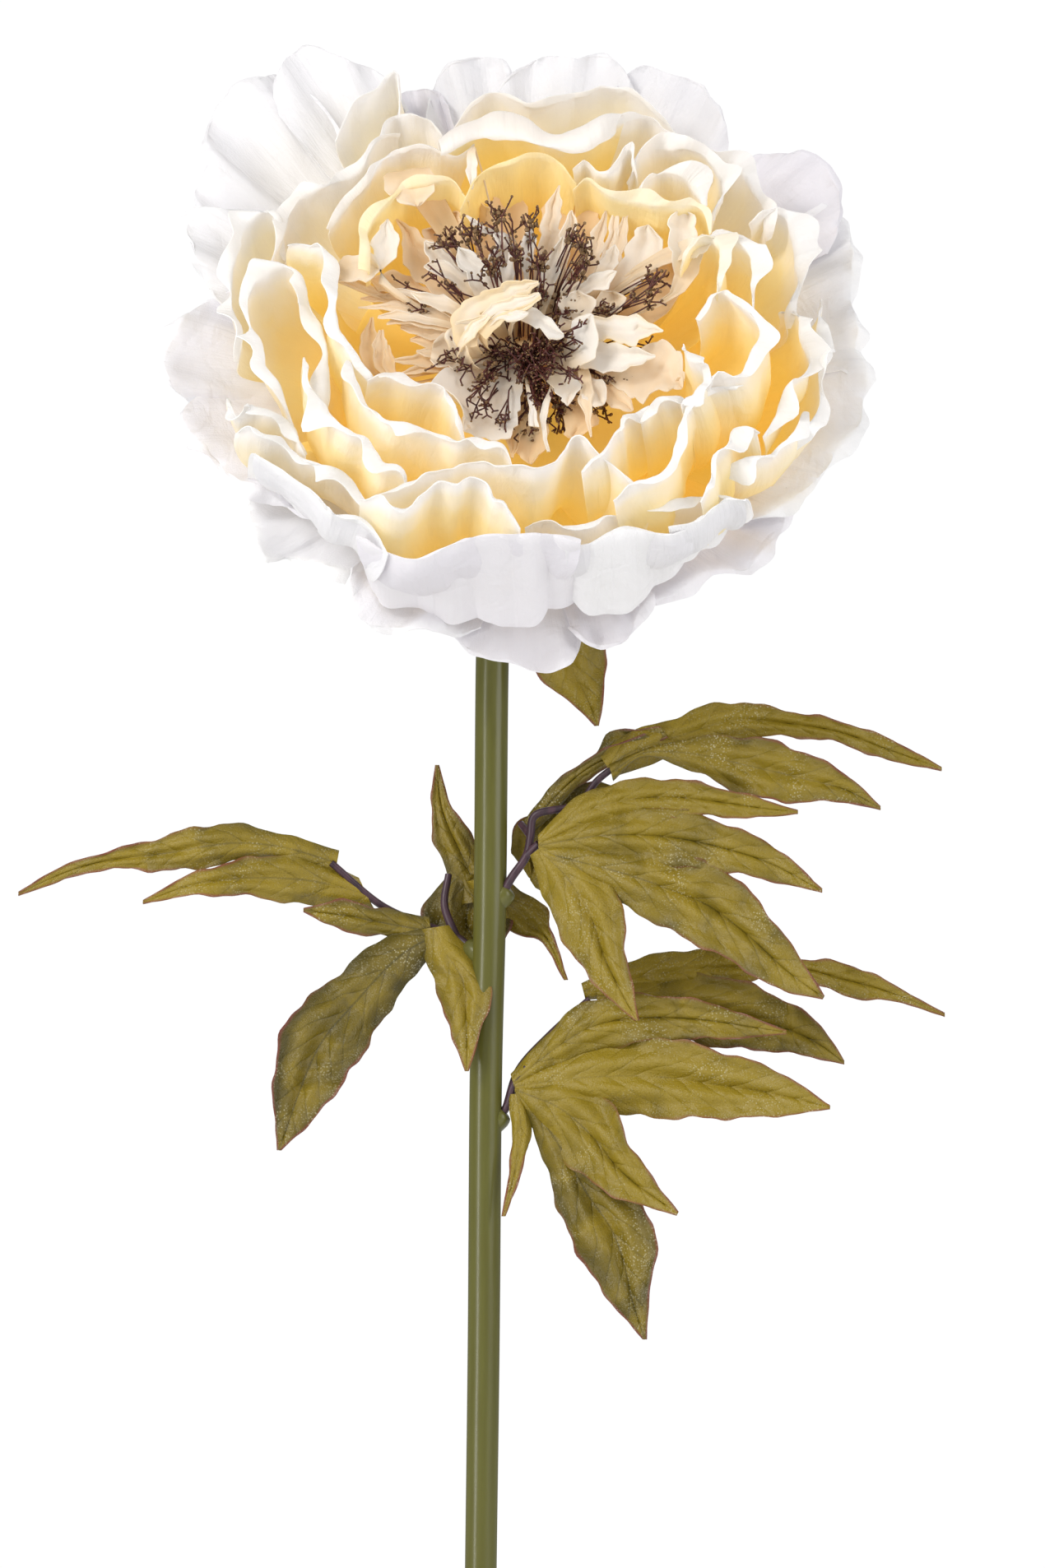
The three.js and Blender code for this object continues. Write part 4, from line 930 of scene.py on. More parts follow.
class PetalLoft:
    """Lofts one petal from its root on the core up to its rim and round its curled lip.

    The waves come from one row of drawn numbers, in the order in which surface calls the other methods.
    """

    def __init__(self, petal: Petal, draw: Draw) -> None:
        """Lays out the lines, columns and rows of a petal.

        Args:
            petal: what to loft.
            draw: the source of its waves.
        """
        self.petal = petal
        self.shape = petal.layer.value
        self.draw = draw
        self.size = line_length(petal.crest or petal.rim)
        cols = int(np.clip(self.size / COLUMN, *COLUMNS))
        self.u = np.linspace(0, 1, cols + 1)
        self.root, self.first, self.second, self.top, self.end, self.out = control_lines(petal, cols)
        self.rise = unit(self.top - self.second)
        back = np.maximum(self.out[:, 1], 0)
        self.facing = np.clip(0.2 + 0.95 * np.abs(self.out[:, 0]) - 0.5 * back, 0.25, 1.0)
        rows, tail = FALLING_ROWS if petal.crest else STANDING_ROWS
        self.rows = np.linspace(0, 1, rows)
        self.tail = np.linspace(0, 1, tail)[1:]
        self.t = np.concatenate([self.rows * 0.94, 0.95 + 0.05 * self.tail])

    def wave(self, length: float) -> np.ndarray:
        """A wave along the rim, of a length in millimetres that wanders, with a drawn start."""
        run = self.size * self.u
        wander = 0.9 * np.sin(2 * np.pi * (run / (2.7 * length) + self.draw.next()))
        even = np.sin(2 * np.pi * (run / length + self.draw.next()) + wander)
        return 0.4 * even + 0.6 * np.arcsin(0.98 * even) / 1.4

    def wobble(self, waves: Line, start: float = 0.0) -> np.ndarray:
        """Adds waves up round a start value."""
        return sum((share * self.wave(length) for length, share in waves), start)

    def falling(self) -> tuple[np.ndarray, np.ndarray]:
        """Rises to the crest and falls to the rim. Returns the points, and how loose each row is."""
        over = self.top + UP * 3 + self.out * 3
        rising = bezier(self.root, self.first, self.second, self.top, self.rows)
        fall = bezier(self.top, over, self.end + UP * 4, self.end, self.tail)
        return np.concatenate([rising, fall]), np.concatenate([self.rows * 0.4, 0.4 + 0.6 * self.tail])

    def lip_width(self) -> np.ndarray:
        """Draws the breadth of the lip at each column: narrow at the ends, and where it can't be seen."""
        pinch = np.minimum(1, 5 * np.minimum(self.u, 1 - self.u) + 0.15)
        width = self.shape.lip * pinch * self.wobble(LIP_WAVES, 0.8)
        return np.maximum(width * np.minimum(self.facing * self.petal.broad, 1.1), 0.15)

    def standing(self, width: np.ndarray) -> tuple[np.ndarray, np.ndarray]:
        """Rises to the rim and curls over it.

        Args:
            width: the breadth of the lip at each column.

        Returns:
            The points, and how loose each row is.
        """
        bend = np.radians(self.shape.bend * self.wobble(BEND_WAVES, 0.85))[:, None]
        bend = bend * np.clip(1.4 * self.facing, 0.2, 1)[:, None]
        curl = 0.25 + 0.25 * width[:, None]
        corner = np.clip(1 - self.u / 0.15, 0, 1) ** 2 + np.clip(1 - (1 - self.u) / 0.15, 0, 1) ** 2
        edge = self.top - self.rise * (curl + 0.07 * self.size * corner[:, None])
        away = unit(self.out - self.rise * (self.out * self.rise).sum(axis=1, keepdims=True))
        grid = [bezier(self.root, self.first, self.second + edge - self.top, edge, self.rows)]
        for q in self.tail:
            tilt = bend * min(1.0, q / TURNED) + 0.5 * max(0.0, q - TURNED)
            step = curl * bend / (10 * TURNED) if q < TURNED + 0.001 else width[:, None] / 5.5
            edge = edge + step * (np.cos(tilt) * self.rise + np.sin(tilt) * away)
            grid.append(edge[None])
        return np.concatenate(grid), np.concatenate([self.rows, 1 + 0.3 * self.tail])

    def crumpled(self, grid: np.ndarray, free: np.ndarray, phase: float) -> np.ndarray:
        """Frills, crumples, folds and nicks a smooth petal, more so the looser it is.

        Args:
            grid: its smooth points.
            free: how loose each row is.
            phase: where its broad wave starts.

        Returns:
            The points moved.
        """
        deep = free[:, None]
        loose = np.minimum(deep, 1)
        tall = float(np.linalg.norm(self.top - self.root, axis=1).mean())
        normal = unit(np.cross(np.gradient(grid, axis=1), np.gradient(grid, axis=0)))
        frill = 2.2 * self.shape.frill * deep ** 3 * self.wobble(FRILL_WAVES) * self.facing
        crumple = 0
        for depth, share, length in CRUMPLES:
            crumple = crumple + depth * loose * self.ripple(share * tall, length)
        length, depth, late = FALLING_FOLD if self.petal.crest else STANDING_FOLD
        fold = np.abs(self.ripple(0.7 * tall, length)) - 0.4
        crumple = crumple - depth * loose ** late * fold
        grid = grid + normal * (frill + crumple)[..., None]
        ragged = (1.6 if self.petal.layer is INNER else 1.0) * self.wobble(NOTCHES)
        grid = grid + loose[..., None] ** 6 * ragged[None, :, None] * self.rise
        broad = self.shape.wave * loose ** 2 * np.sin(5.2 * np.pi * self.u + phase)
        return grid + broad[..., None] * np.array([0.0, COS, -SIN])

    def ripple(self, height: float, length: float) -> np.ndarray:
        """A soft crumple of this length over the petal, as if it were this high."""
        return ripple(self.u, self.t, (self.size, height), length, self.draw)

    def paint(self, grid: np.ndarray, width: np.ndarray) -> Painted:
        """Works out where the petal is gold and where white.

        Args:
            grid: its points.
            width: the breadth of its lip at each column.

        Returns:
            Values for each point: how near the rim, the way across, and how much on the lip.
        """
        back = self.shape.back_fade - self.shape.fade
        fade = (self.shape.fade + back * np.clip(1.3 * self.out[:, 1], 0, 1)) / self.petal.gold
        run = np.linalg.norm(np.diff(grid, axis=0), axis=2).cumsum(axis=0)
        run = np.vstack([np.zeros(len(self.u)), run])
        below = np.maximum(run[len(self.rows) - 1] - run, 0)
        # Painted shade: towards the back of the cup the lips are painted less white, and inner petals' bodies
        # more gold, where they lie in shadow.
        white = self.petal.white()
        tone = 0.55 + 0.45 * white if self.petal.layer is INNER and not self.petal.crest else 1.0
        lip = white * np.clip((self.t[:, None] - 0.9) / 0.05, 0, 1) * np.clip(width / 1.2, 0.3, 1)
        return {"along": tone * np.clip(1 - below / fade, 0, 1), "across": self.u, "lip": lip}

    def surface(self, phase: float) -> tuple[np.ndarray, Painted]:
        """Lofts the petal.

        Args:
            phase: where its broad wave starts.

        Returns:
            Mid-surface points in the part's frame, and its painted values.
        """
        if self.petal.crest:
            width = np.full(len(self.u), 2.0)
            smooth_grid, free = self.falling()
        else:
            width = self.lip_width()
            smooth_grid, free = self.standing(width)
        grid = self.crumpled(smooth_grid, free, phase)
        return to_world(grid), self.paint(grid, width) | {"tint": self.draw.next()}


@dataclass
class Bloom:
    """The petals in their layers on their core."""

    cloth: float = 0.27
    seed: int = 41
    core: Line = ((0, -18), (14, -18), (27, -16.5), (36, -12.5), (45, -7.5), (44, -6.5), (30, -9.5), (22, -9),
                  (0, -10))

    def petals(self, guard: Material, cup: Material) -> None:
        """Builds the guard petals, the outer petals and the cup petals."""
        draw = Draw(self.seed)
        small = Draw(self.seed + 7)
        patches = {"guard_petals": Patch(), "outer_petals": Patch(), "cup_petals": Patch()}
        home = dict(zip(Layer, ("guard_petals", "guard_petals", "outer_petals", "cup_petals", "cup_petals")))
        for petal in PETALS:
            grid, values = PetalLoft(petal, small).surface(draw.next() * 6)
            patches[home[petal.layer]].blade(grid, self.cloth, values)
        # The core dish is painted deep, so it takes the cup's strongest painted glow.
        core = {"along": 0.1, "across": 0.5, "lip": 0.0, "tint": 0.3}
        patches["cup_petals"].turned(self.core, 48, core, in_bloom=True)
        for name, patch in patches.items():
            piece = patch.build(name, guard if name == "guard_petals" else cup)
            mount(piece, "petal_white", "bloom_petals")


# ---------------------------------------------------------------- small petals of the middle

@dataclass(frozen=True)
class Petaloid:
    """One small petal of the middle, seen from the front, between its two edges from base to tip.

    heights are at its base and its tip, and tint runs from pale to peach.
    """

    left: Line
    right: Line
    heights: tuple[float, float]
    tint: float


PETALOIDS = (
    # peach ones at the back
    Petaloid(((-16, 8), (-24, 16), (-29, 20), (-31.3, 26), (-31, 29.5), (-33, 34.6)),
        ((-8, 14), (-15, 22), (-20, 27), (-25.5, 29.5), (-28, 32), (-33, 34.7)), (10, 15), 0.55),
    Petaloid(((-14, 12), (-20, 22), (-25.5, 28), (-26, 31.5), (-22, 32.5), (-20.3, 35)),
        ((-8, 14), (-12, 24), (-15, 30), (-16, 33), (-16.5, 36.2), (-20.2, 35.5)), (9, 14), 0.6),
    Petaloid(((-8, 14), (-12, 25), (-15, 32), (-15.8, 37), (-15, 39.5), (-13.3, 40.8)),
        ((-2, 14), (-5, 25), (-7, 33), (-9.8, 38), (-11.8, 39.2), (-13.2, 40.9)), (8, 13), 0.6),
    Petaloid(((-4, 14), (-7, 26), (-9.5, 37), (-7, 42), (-5.5, 45.5)),
        ((4, 14), (3, 26), (1, 36), (-2, 43), (-5.4, 45.8)), (7, 12), 0.75),
    Petaloid(((4, 14), (4, 30), (4.5, 37), (7, 40), (10.5, 42)),
        ((14, 14), (17, 28), (19, 37), (15, 39.5), (10.6, 42.2)), (7, 12), 0.75),
    Petaloid(((30, 18), (34, 22), (35, 25), (36, 25.4), (37.5, 25)),
        ((36, 10), (39, 14), (41.5, 17), (40.8, 21), (37.6, 25.2)), (10, 14), 0.7),
    Petaloid(((-20, 10), (-28, 14.5), (-36, 15.5), (-39.5, 18.5)),
        ((-18, 13), (-26, 17.5), (-33, 21), (-39.4, 19)), (11, 14), 0.65),
    Petaloid(((8, -10), (10, -16), (10, -21), (12, -22.4)),
        ((14, -10), (17, -14), (18.5, -18), (12.4, -22.6)), (6, 8), 0.8),
    Petaloid(((-4, -16), (-5, -21), (-3.4, -27)), ((1, -16), (-1, -22), (-3, -27.2)), (5, 8), 0.8),
    Petaloid(((-2, -18), (-3, -25), (1, -28.5)), ((6, -18), (5.5, -24), (1.6, -28.8)), (4, 7), 0.75),
    Petaloid(((17, -5), (22, -7), (26, -11), (27.5, -15)),
        ((16, -8), (20, -12.5), (24, -15), (27, -15.4)), (8, 11), 0.5),
    # pointed ones above the middle
    Petaloid(((-9, 16), (-8, 22), (-9, 24.5), (-7.5, 27), (-8, 30.3)),
        ((-3, 16), (-2.7, 22), (-2.6, 27), (-4, 30), (-7.6, 30.8)), (13, 20), 0.1),
    Petaloid(((-5.5, 30), (-10, 30.4), (-13, 32.4), (-15, 35)),
        ((-5.5, 31), (-9.5, 31.9), (-12, 33.6), (-14.7, 35.2)), (19, 21), 0.0),
    Petaloid(((0, 17), (-0.6, 23), (-0.8, 27), (0, 30.5), (1.1, 31.7)),
        ((0.9, 17), (1.2, 21), (2.5, 26), (2.7, 30), (1.6, 31.7)), (14, 21), 0.05),
    Petaloid(((2, 18), (3.5, 26), (4.2, 33), (5.5, 38), (8, 42), (8.7, 43)),
        ((7, 20), (9, 30), (8.9, 34), (9.4, 38.4), (8.9, 40), (8.9, 43)), (12, 21), 0.35),
    Petaloid(((6, 16), (8, 25), (9, 30), (10, 33), (11.6, 36.4)),
        ((10, 17), (11.3, 26), (13, 31), (13, 34), (12, 36.6)), (12, 19), 0.3),
    Petaloid(((3, 16), (5, 22), (7, 26), (9.4, 29.6)),
        ((7, 15), (9, 22), (10, 27), (9.8, 30)), (14, 19), 0.2),
    Petaloid(((14, 18), (15, 26), (17, 31), (19, 34), (20.4, 36.4)),
        ((18, 19), (20, 27), (20.7, 31), (21, 34), (20.8, 36.5)), (11, 18), 0.35),
    Petaloid(((17, 19), (20, 27), (21.3, 31), (21.8, 34.5), (23, 37.3)),
        ((21, 20), (23, 28), (24, 32), (23.8, 35), (23.3, 37.4)), (11.5, 18), 0.3),
    Petaloid(((19, 20), (22, 28), (24, 33), (25.5, 36), (26.6, 37.8)),
        ((23, 20), (25.5, 27), (26.2, 31), (26, 33.6), (26.9, 37.9)), (12, 18.5), 0.35),
    Petaloid(((18, 21), (19.5, 24), (21, 26), (22.7, 27.5)),
        ((22, 20), (23.5, 23), (24, 25), (22.9, 27.7)), (15, 19), 0.2),
    Petaloid(((23, 21), (25, 25), (27, 29.5), (29, 32), (31, 32.7)),
        ((27, 16), (31, 19), (33.8, 22), (35, 26), (34.2, 30), (31.4, 32.9)), (12, 17), 0.15),
    Petaloid(((12, 16), (16, 19), (19, 20.8), (23, 20.8)),
        ((13, 14), (17, 15.5), (21, 16.5), (23.3, 20.6)), (14, 20), 0.15),
    Petaloid(((9, 14), (10, 19), (11, 21.7)), ((13, 14), (13.5, 18), (11.6, 21.8)), (13, 17), 0.4),
    Petaloid(((8, 5), (9, 9), (8.5, 13), (10, 14.5), (13, 15.8)),
        ((12, 6), (15, 9), (17.5, 10.5), (18, 13), (13.5, 16)), (11, 15), 0.3),
    Petaloid(((17, 9), (18, 13), (19, 15.5), (22, 15.6)),
        ((20, 8), (24, 11), (26, 13.5), (22.6, 15.8)), (11, 14), 0.4),
    # fan on the left
    Petaloid(((-13, 15), (-15, 20), (-17.5, 24), (-17, 26.7)),
        ((-7, 16), (-9.5, 21), (-12, 25), (-16.8, 26.9)), (14, 20), 0.05),
    Petaloid(((-13, 14), (-18, 18), (-23, 21.5), (-25, 25), (-25.6, 28.4)),
        ((-11, 16), (-15, 20.5), (-18.5, 24), (-21, 27), (-25.2, 28.8)), (13, 18), 0.2),
    Petaloid(((-15, 15), (-20, 19), (-24, 20.5), (-25.6, 21.8)),
        ((-13, 17), (-18, 22), (-22, 24), (-25.5, 22)), (14, 19), 0.25),
    Petaloid(((-19, 9), (-24, 12), (-29, 14), (-35, 15.8)),
        ((-18, 11), (-23, 14), (-29, 15.9), (-35, 16.3)), (14, 17), 0.35),
    Petaloid(((-17, 9), (-22, 11), (-26, 12.5), (-28.9, 15)),
        ((-17, 12.5), (-20, 14.3), (-25, 15), (-29, 15.6)), (15, 18), 0.3),
    Petaloid(((-20, 8), (-28, 11), (-35, 12.5), (-41.7, 13.5)),
        ((-19, 11), (-28, 13.5), (-35, 15), (-41.5, 14)), (12, 14), 0.6),
    Petaloid(((-19, 7), (-26, 8.5), (-34, 10.5), (-42.3, 11.2)),
        ((-18, 9), (-26, 12), (-33, 13), (-38, 12), (-42.2, 11.5)), (13, 15.5), 0.4),
    Petaloid(((-20, 6.3), (-27, 7.6), (-33, 8.3), (-37.3, 8.7)),
        ((-20, 8), (-27, 9.7), (-33, 10.5), (-37, 9.2)), (14, 16), 0.35),
    Petaloid(((-20, 5.3), (-26, 6.3), (-31, 7.3), (-35, 6.9)),
        ((-19, 6.8), (-26, 8.3), (-31, 9.8), (-35, 7.2)), (13.5, 15), 0.45),
    Petaloid(((-19, 3), (-25, 3.5), (-31.5, 6)), ((-19, 6), (-26, 7.4), (-31.4, 7.2)), (12, 13), 0.5),
    Petaloid(((-18, 0.5), (-24, 1), (-29, 2.8)), ((-18, 4), (-24, 5), (-29, 3.4)), (11, 12), 0.6),
    Petaloid(((-41, -3), (-42, 2), (-39.2, 8.8)), ((-38, -3), (-37.5, 3), (-38.4, 9)), (9, 13), 0.65),
    Petaloid(((-38, -4), (-38.5, 1), (-37, 5.6)), ((-35, -4), (-35, 2), (-35.9, 5.7)), (9, 13), 0.5),
    Petaloid(((-35, -6), (-36, -2), (-35, 1.8)), ((-32.5, -6), (-33, -2), (-34.4, 1.8)), (9, 12), 0.6),
    Petaloid(((-20, -4), (-27, -3.6), (-33, -2.6)), ((-20, -1), (-27, -0.6), (-33, -1.9)), (10, 12), 0.55),
    Petaloid(((-20, -3), (-24, -1.6), (-27.5, 0)), ((-19, 0), (-24, 0.8), (-27.3, 0.4)), (11, 13), 0.45),
    Petaloid(((-20, -5), (-26, -5.4), (-31, -6)), ((-20, -2.4), (-26, -2.8), (-31, -5.2)), (9, 11), 0.5),
    # flat ones in front
    Petaloid(((-3, -2), (-12, -2), (-20, -4.5), (-24, -8), (-19.5, -10), (-16, -14), (-15.5, -20)),
        ((0, -5), (-1, -12), (-2, -18), (-4, -22), (-8, -22.7), (-12, -21.8), (-15.2, -20.6)), (7, 11),
            0.15),
    Petaloid(((-6, 3), (-14, 6), (-20, 5), (-23, 3)),
        ((-8, -3), (-15, -3.5), (-21, -4), (-24, -2.5)), (10, 13), 0.4),
    Petaloid(((20, -2), (28, 0), (34, 3), (39, 0), (40.3, -6), (40, -9)),
        ((20, -7), (26, -11), (30, -13), (32, -10.4), (36, -10), (39.6, -9.6)), (9, 13), 0.4),
    Petaloid(((14, -5), (20, -8), (21, -10.5), (20, -13.5)),
        ((12, -8), (16, -13), (17.5, -14), (19.7, -13.8)), (10, 13), 0.25),
    Petaloid(((13, -4), (14, -8), (13.5, -12), (15, -16), (16.5, -22)),
        ((16, -4), (17, -8), (17, -13), (16.7, -18), (16.9, -22)), (12, 13), 0.45),
    Petaloid(((7, -9), (9, -12), (10.5, -13.8)), ((12, -5), (14, -9), (10.8, -14)), (12, 14), 0.2),
    Petaloid(((0.4, -10), (1.2, -15), (0.8, -19)), ((1.4, -10), (3, -16), (3.5, -19.4)), (12, 13), 0.0),
    Petaloid(((6, -10), (4, -15), (4.5, -21), (5.6, -25.7)),
        ((7.2, -10), (5.6, -16), (5.5, -21), (6.3, -25.7)), (12, 12.5), 0.1),
    Petaloid(((12, 6), (14, 9), (18, 9), (23, 9), (28, 9.4), (32, 7.3), (35, 5.4)),
        ((14, 2), (18, 3), (22, 3), (27, 1.4), (31, 4), (35, 5)), (13, 18), -0.1),
    Petaloid(((13, 3), (18, 3), (23, 2), (27, 1.2), (33, -1)),
        ((13, -4), (17, -4.5), (22, -5.3), (27, -4), (33, -1.5)), (12, 16), 0.0),
    Petaloid(((10.5, 2), (12, 7), (14, 9.3), (17, 9.6)),
        ((13.5, -4), (17, -2), (18.6, 1), (18.2, 5), (17.3, 9.3)), (15, 19), 0.0),
    # ruffle over the core
    Petaloid(((-18, 3), (-18.5, 9), (-14, 13.5), (-8, 16), (-3, 18), (3.4, 17.9)),
        ((-12, 4), (-11, 9.5), (-7, 11), (-2, 13.2), (1, 15), (3.6, 17.2)), (19, 24), -0.2),
    Petaloid(((-13, 6), (-9.5, 11), (-5, 13.2), (0, 14.2), (3.6, 14.8)),
        ((-11, 5), (-7, 9.6), (-2, 10.4), (2, 12.6), (4, 14.2)), (21, 25.5), -0.12),
    Petaloid(((-10, 7), (-5, 10), (0, 11.5), (4, 14)),
        ((-8, 5), (-4, 8.4), (-1, 9.5), (4.2, 13.4)), (22, 26), -0.25),
    Petaloid(((-9, 8), (-6, 10), (-2, 10.2), (1, 9.8)),
        ((-9, 6), (-6, 8.2), (-3, 7.2), (0.6, 9)), (22, 25), -0.05),
    Petaloid(((-17, 2), (-14, 6.8), (-9.6, 9.3)), ((-16, 0.6), (-12.5, 4), (-8.6, 8.6)), (19, 24), -0.15),
    Petaloid(((-19, 0), (-20, 5), (-15, 8), (-10, 9)),
        ((-14, -1), (-15, 3), (-12, 5), (-9.5, 8)), (17, 22), -0.1),
    Petaloid(((-1, 9), (2, 11), (5, 9.5), (8, 6.5), (9.8, 4.4)),
        ((-1, 7.8), (3, 6), (6, 3.5), (8, 2.6), (9.9, 3.7)), (20, 21), 0.0),
    # loose tips against the cup
    Petaloid(((-37, 21), (-38.5, 25), (-38.8, 28), (-37.5, 31), (-35, 34)),
        ((-36.3, 21), (-33.5, 23.5), (-32, 26.5), (-32.5, 30.5), (-34.8, 34.2)), (20, 22), 0.0),
    Petaloid(((-46, 18), (-42, 18), (-39, 18.5), (-37, 20.3)),
        ((-46, 24.5), (-42, 25), (-38, 25), (-36.8, 21.5)), (19, 21), 0.3),
    Petaloid(((-36, 45), (-35, 41), (-32, 38.5), (-28, 37.5)),
        ((-24, 47), (-22.7, 44), (-24, 40), (-27, 37.5)), (23, 23), 0.45),
    Petaloid(((-14.6, 51.5), (-14.9, 47), (-14.2, 43.5), (-13.5, 41.8)),
        ((-12.5, 51), (-12, 47.5), (-12.7, 44), (-13.3, 41.8)), (26, 25), 0.0),
    Petaloid(((38, 20), (36.8, 27), (36.5, 32), (37.5, 35.5), (40, 36.8)),
        ((44, 20), (45, 25.5), (43.5, 30), (43.4, 34), (41, 36.9)), (17, 20), 0.15),
    Petaloid(((41, 29), (44, 29.5), (46, 29.4), (48, 28.5)),
        ((41, 24), (44, 24.5), (46, 26), (47.9, 28.1)), (19, 22), 0.1),
)


@dataclass
class Tuft:
    """The tuft of small petals in the middle.

    cloth is the thickness of a petal, step and columns how fine it is, nick how deep its edges are nicked,
    and nicks how long these are on its left and its right edge.
    """

    cloth: float = 0.28
    seed: int = 42
    step: float = 1.1
    columns: int = 11
    nick: float = 0.55
    nicks: tuple[float, float] = (5.5, 4.8)
    base: Line = ((0, -9.5), (13, -8.5), (12, -3), (0, 1.5))

    def surface(self, tip: Petaloid, draw: Draw) -> tuple[np.ndarray, np.ndarray, np.ndarray]:
        """Lofts one small petal between its edges, with a narrow root that runs down to the base.

        Args:
            tip: its edges and heights.
            draw: the source of its twist and waves.

        Returns:
            Mid-surface points in the part's frame, the way up the petal of each, and how near an edge.
        """
        steps = int(np.clip(line_length(tip.left) / self.step, 10, 30))
        t = np.linspace(0, 1, steps + 1)[:, None]
        left = smooth(tip.left, steps)
        right = smooth(tip.right, steps)
        across = unit(right - left + 1e-6)
        gape = np.minimum(1.0, np.linalg.norm(right - left, axis=1)[:, None] / 5) * np.minimum(1, 3 * t)
        run = t * steps * self.step
        left, right = (edge + across * gape * self.nick * saw(run / length + draw.next())
                       for edge, length in zip((left, right), self.nicks))
        v = np.linspace(-1, 1, self.columns)[None, :]
        flat = left[:, None] + (right - left)[:, None] * (v[0, :, None] + 1) / 2
        half = np.linalg.norm(right - left, axis=1)[:, None] / 2
        twist = 0.9 * draw.next() - 0.45
        cup = 0.10 + 0.16 * draw.next()
        h = tip.heights[0] + (tip.heights[1] - tip.heights[0]) * t ** 1.3
        h = h + half * (twist * v + cup * v ** 2 * 2 + 0.25 * np.abs(v)) * (0.4 + 0.6 * t)
        h = h + 0.6 * t * np.minimum(1, half / 2.5) * np.sin(6 * v + 6 * draw.next() + 3 * t)
        h = h + 0.25 * np.sin(9 * t + 6 * draw.next())
        seam = 0.8 * draw.next() - 0.4
        h = h - np.minimum(half, 5) * 0.22 * t * (np.abs(v - seam) - 0.5) * (1 if draw.next() > 0.4 else -1)
        body = np.stack([flat[..., 0], behind(flat[..., 1], h), h], axis=-1)
        ease = np.linspace(0, 1, 7)[:-1]
        grid = np.concatenate([self.root(body, ease), body])
        up = np.repeat(np.concatenate([0.25 * ease[:, None], 0.25 + 0.75 * t]), self.columns, axis=1)
        return to_world(grid), up, np.broadcast_to(np.abs(v) ** 4, up.shape)

    def root(self, body: np.ndarray, ease: np.ndarray) -> np.ndarray:
        """Runs the foot of a small petal down to a narrow root on the base, in the steps given."""
        foot = body[0]
        middle = foot[self.columns // 2]
        turn = math.atan2(middle[1], middle[0])
        reach = min(11.0, 3 + 0.25 * float(np.hypot(middle[0], middle[1])))
        start = np.array([reach * math.cos(turn), reach * math.sin(turn), -4.0])
        root = start + (foot - middle) * 0.25
        way = unit(body[1] - body[0])
        gap = float(np.linalg.norm(middle - start))
        return bezier(root, root + UP * 0.3 * gap, foot - way * 0.3 * gap, foot, ease)

    def build(self, cloth: Material) -> None:
        """Builds the tuft as one piece."""
        draw = Draw(self.seed)
        patch = Patch()
        for tip in PETALOIDS:
            grid, along, rim = self.surface(tip, draw)
            patch.blade(grid, self.cloth, {"along": along, "rim": rim, "tint": tip.tint})
        patch.turned(self.base, 32, {"along": 0.1, "rim": 0.0, "tint": 0.6}, in_bloom=True)
        mount(patch.build("tuft_petals", cloth), "petaloid_peach", "petaloids")


# ---------------------------------------------------------------- stamens

# Each cluster of stamens: across, up and height of its middle, its spread, how many filaments and loose
# anthers it has, and how large the anthers are.
CLUSTERS = (
    (1, -2, 11, 5.5, 26, 14, 0.4), (7, -5, 13, 5.5, 26, 14, 0.4), (-4, 1, 10, 4.0, 12, 12, 0.5),
    (9, 2, 14, 4.5, 14, 14, 0.5), (4, -10, 9, 4.5, 16, 10, 0.5), (-8.6, -5, 12, 1.6, 5, 12, 1.0),
    (9.5, 11, 13, 2.5, 6, 10, 0.8), (4.5, 14, 14, 2.0, 5, 10, 0.8), (12.5, 27, 22, 3.0, 7, 20, 1.0),
    (14, 20, 19, 2.5, 5, 12, 1.0), (-9.6, 21.5, 20, 2.8, 7, 18, 1.0), (-18.7, 27.4, 18, 2.0, 5, 12, 1.0),
    (-13.7, 29.4, 20, 2.0, 5, 14, 1.0), (-5.6, 33, 21, 2.6, 5, 18, 1.0), (1.4, 30.4, 20, 2.3, 4, 12, 1.0),
    (-2.6, 23.3, 20, 1.6, 4, 8, 1.0), (4.5, 21.3, 20, 2.2, 5, 12, 1.0), (29.7, 14, 16, 2.6, 6, 14, 1.0),
    (32, 17.5, 15, 1.6, 3, 6, 1.0), (20.6, 11.8, 14, 1.8, 3, 12, 0.7), (32.2, 1.2, 12, 1.6, 2, 8, 1.0),
    (25.2, -6, 9, 1.8, 3, 10, 0.9), (19.6, -7, 9, 1.6, 2, 4, 0.9), (18.6, -15, 6, 1.8, 3, 10, 0.9),
    (7.5, -16, 5, 2.6, 7, 16, 0.8), (0.4, -20, 4, 2.4, 7, 14, 0.8), (-27, 10.5, 14, 2.4, 4, 10, 1.0),
    (-21.7, 19.3, 18, 1.2, 2, 2, 0.8), (-17.7, 14.3, 17, 1.6, 2, 2, 0.8), (-29.8, 16.8, 15, 0.8, 1, 1, 0.8),
    (-10.7, -14, 12, 1.8, 4, 0, 0.6), (-5.6, -17.5, 11, 1.6, 4, 0, 0.6), (-17.7, -0.8, 15, 2.4, 5, 0, 0.6),
    (-15, -4, 13, 1.8, 3, 0, 0.6), (-12, -9, 12, 1.6, 3, 2, 0.6), (15.5, 2.5, 13, 2.0, 3, 2, 0.5),
    (16, -3, 10, 2.0, 3, 4, 0.5),
)


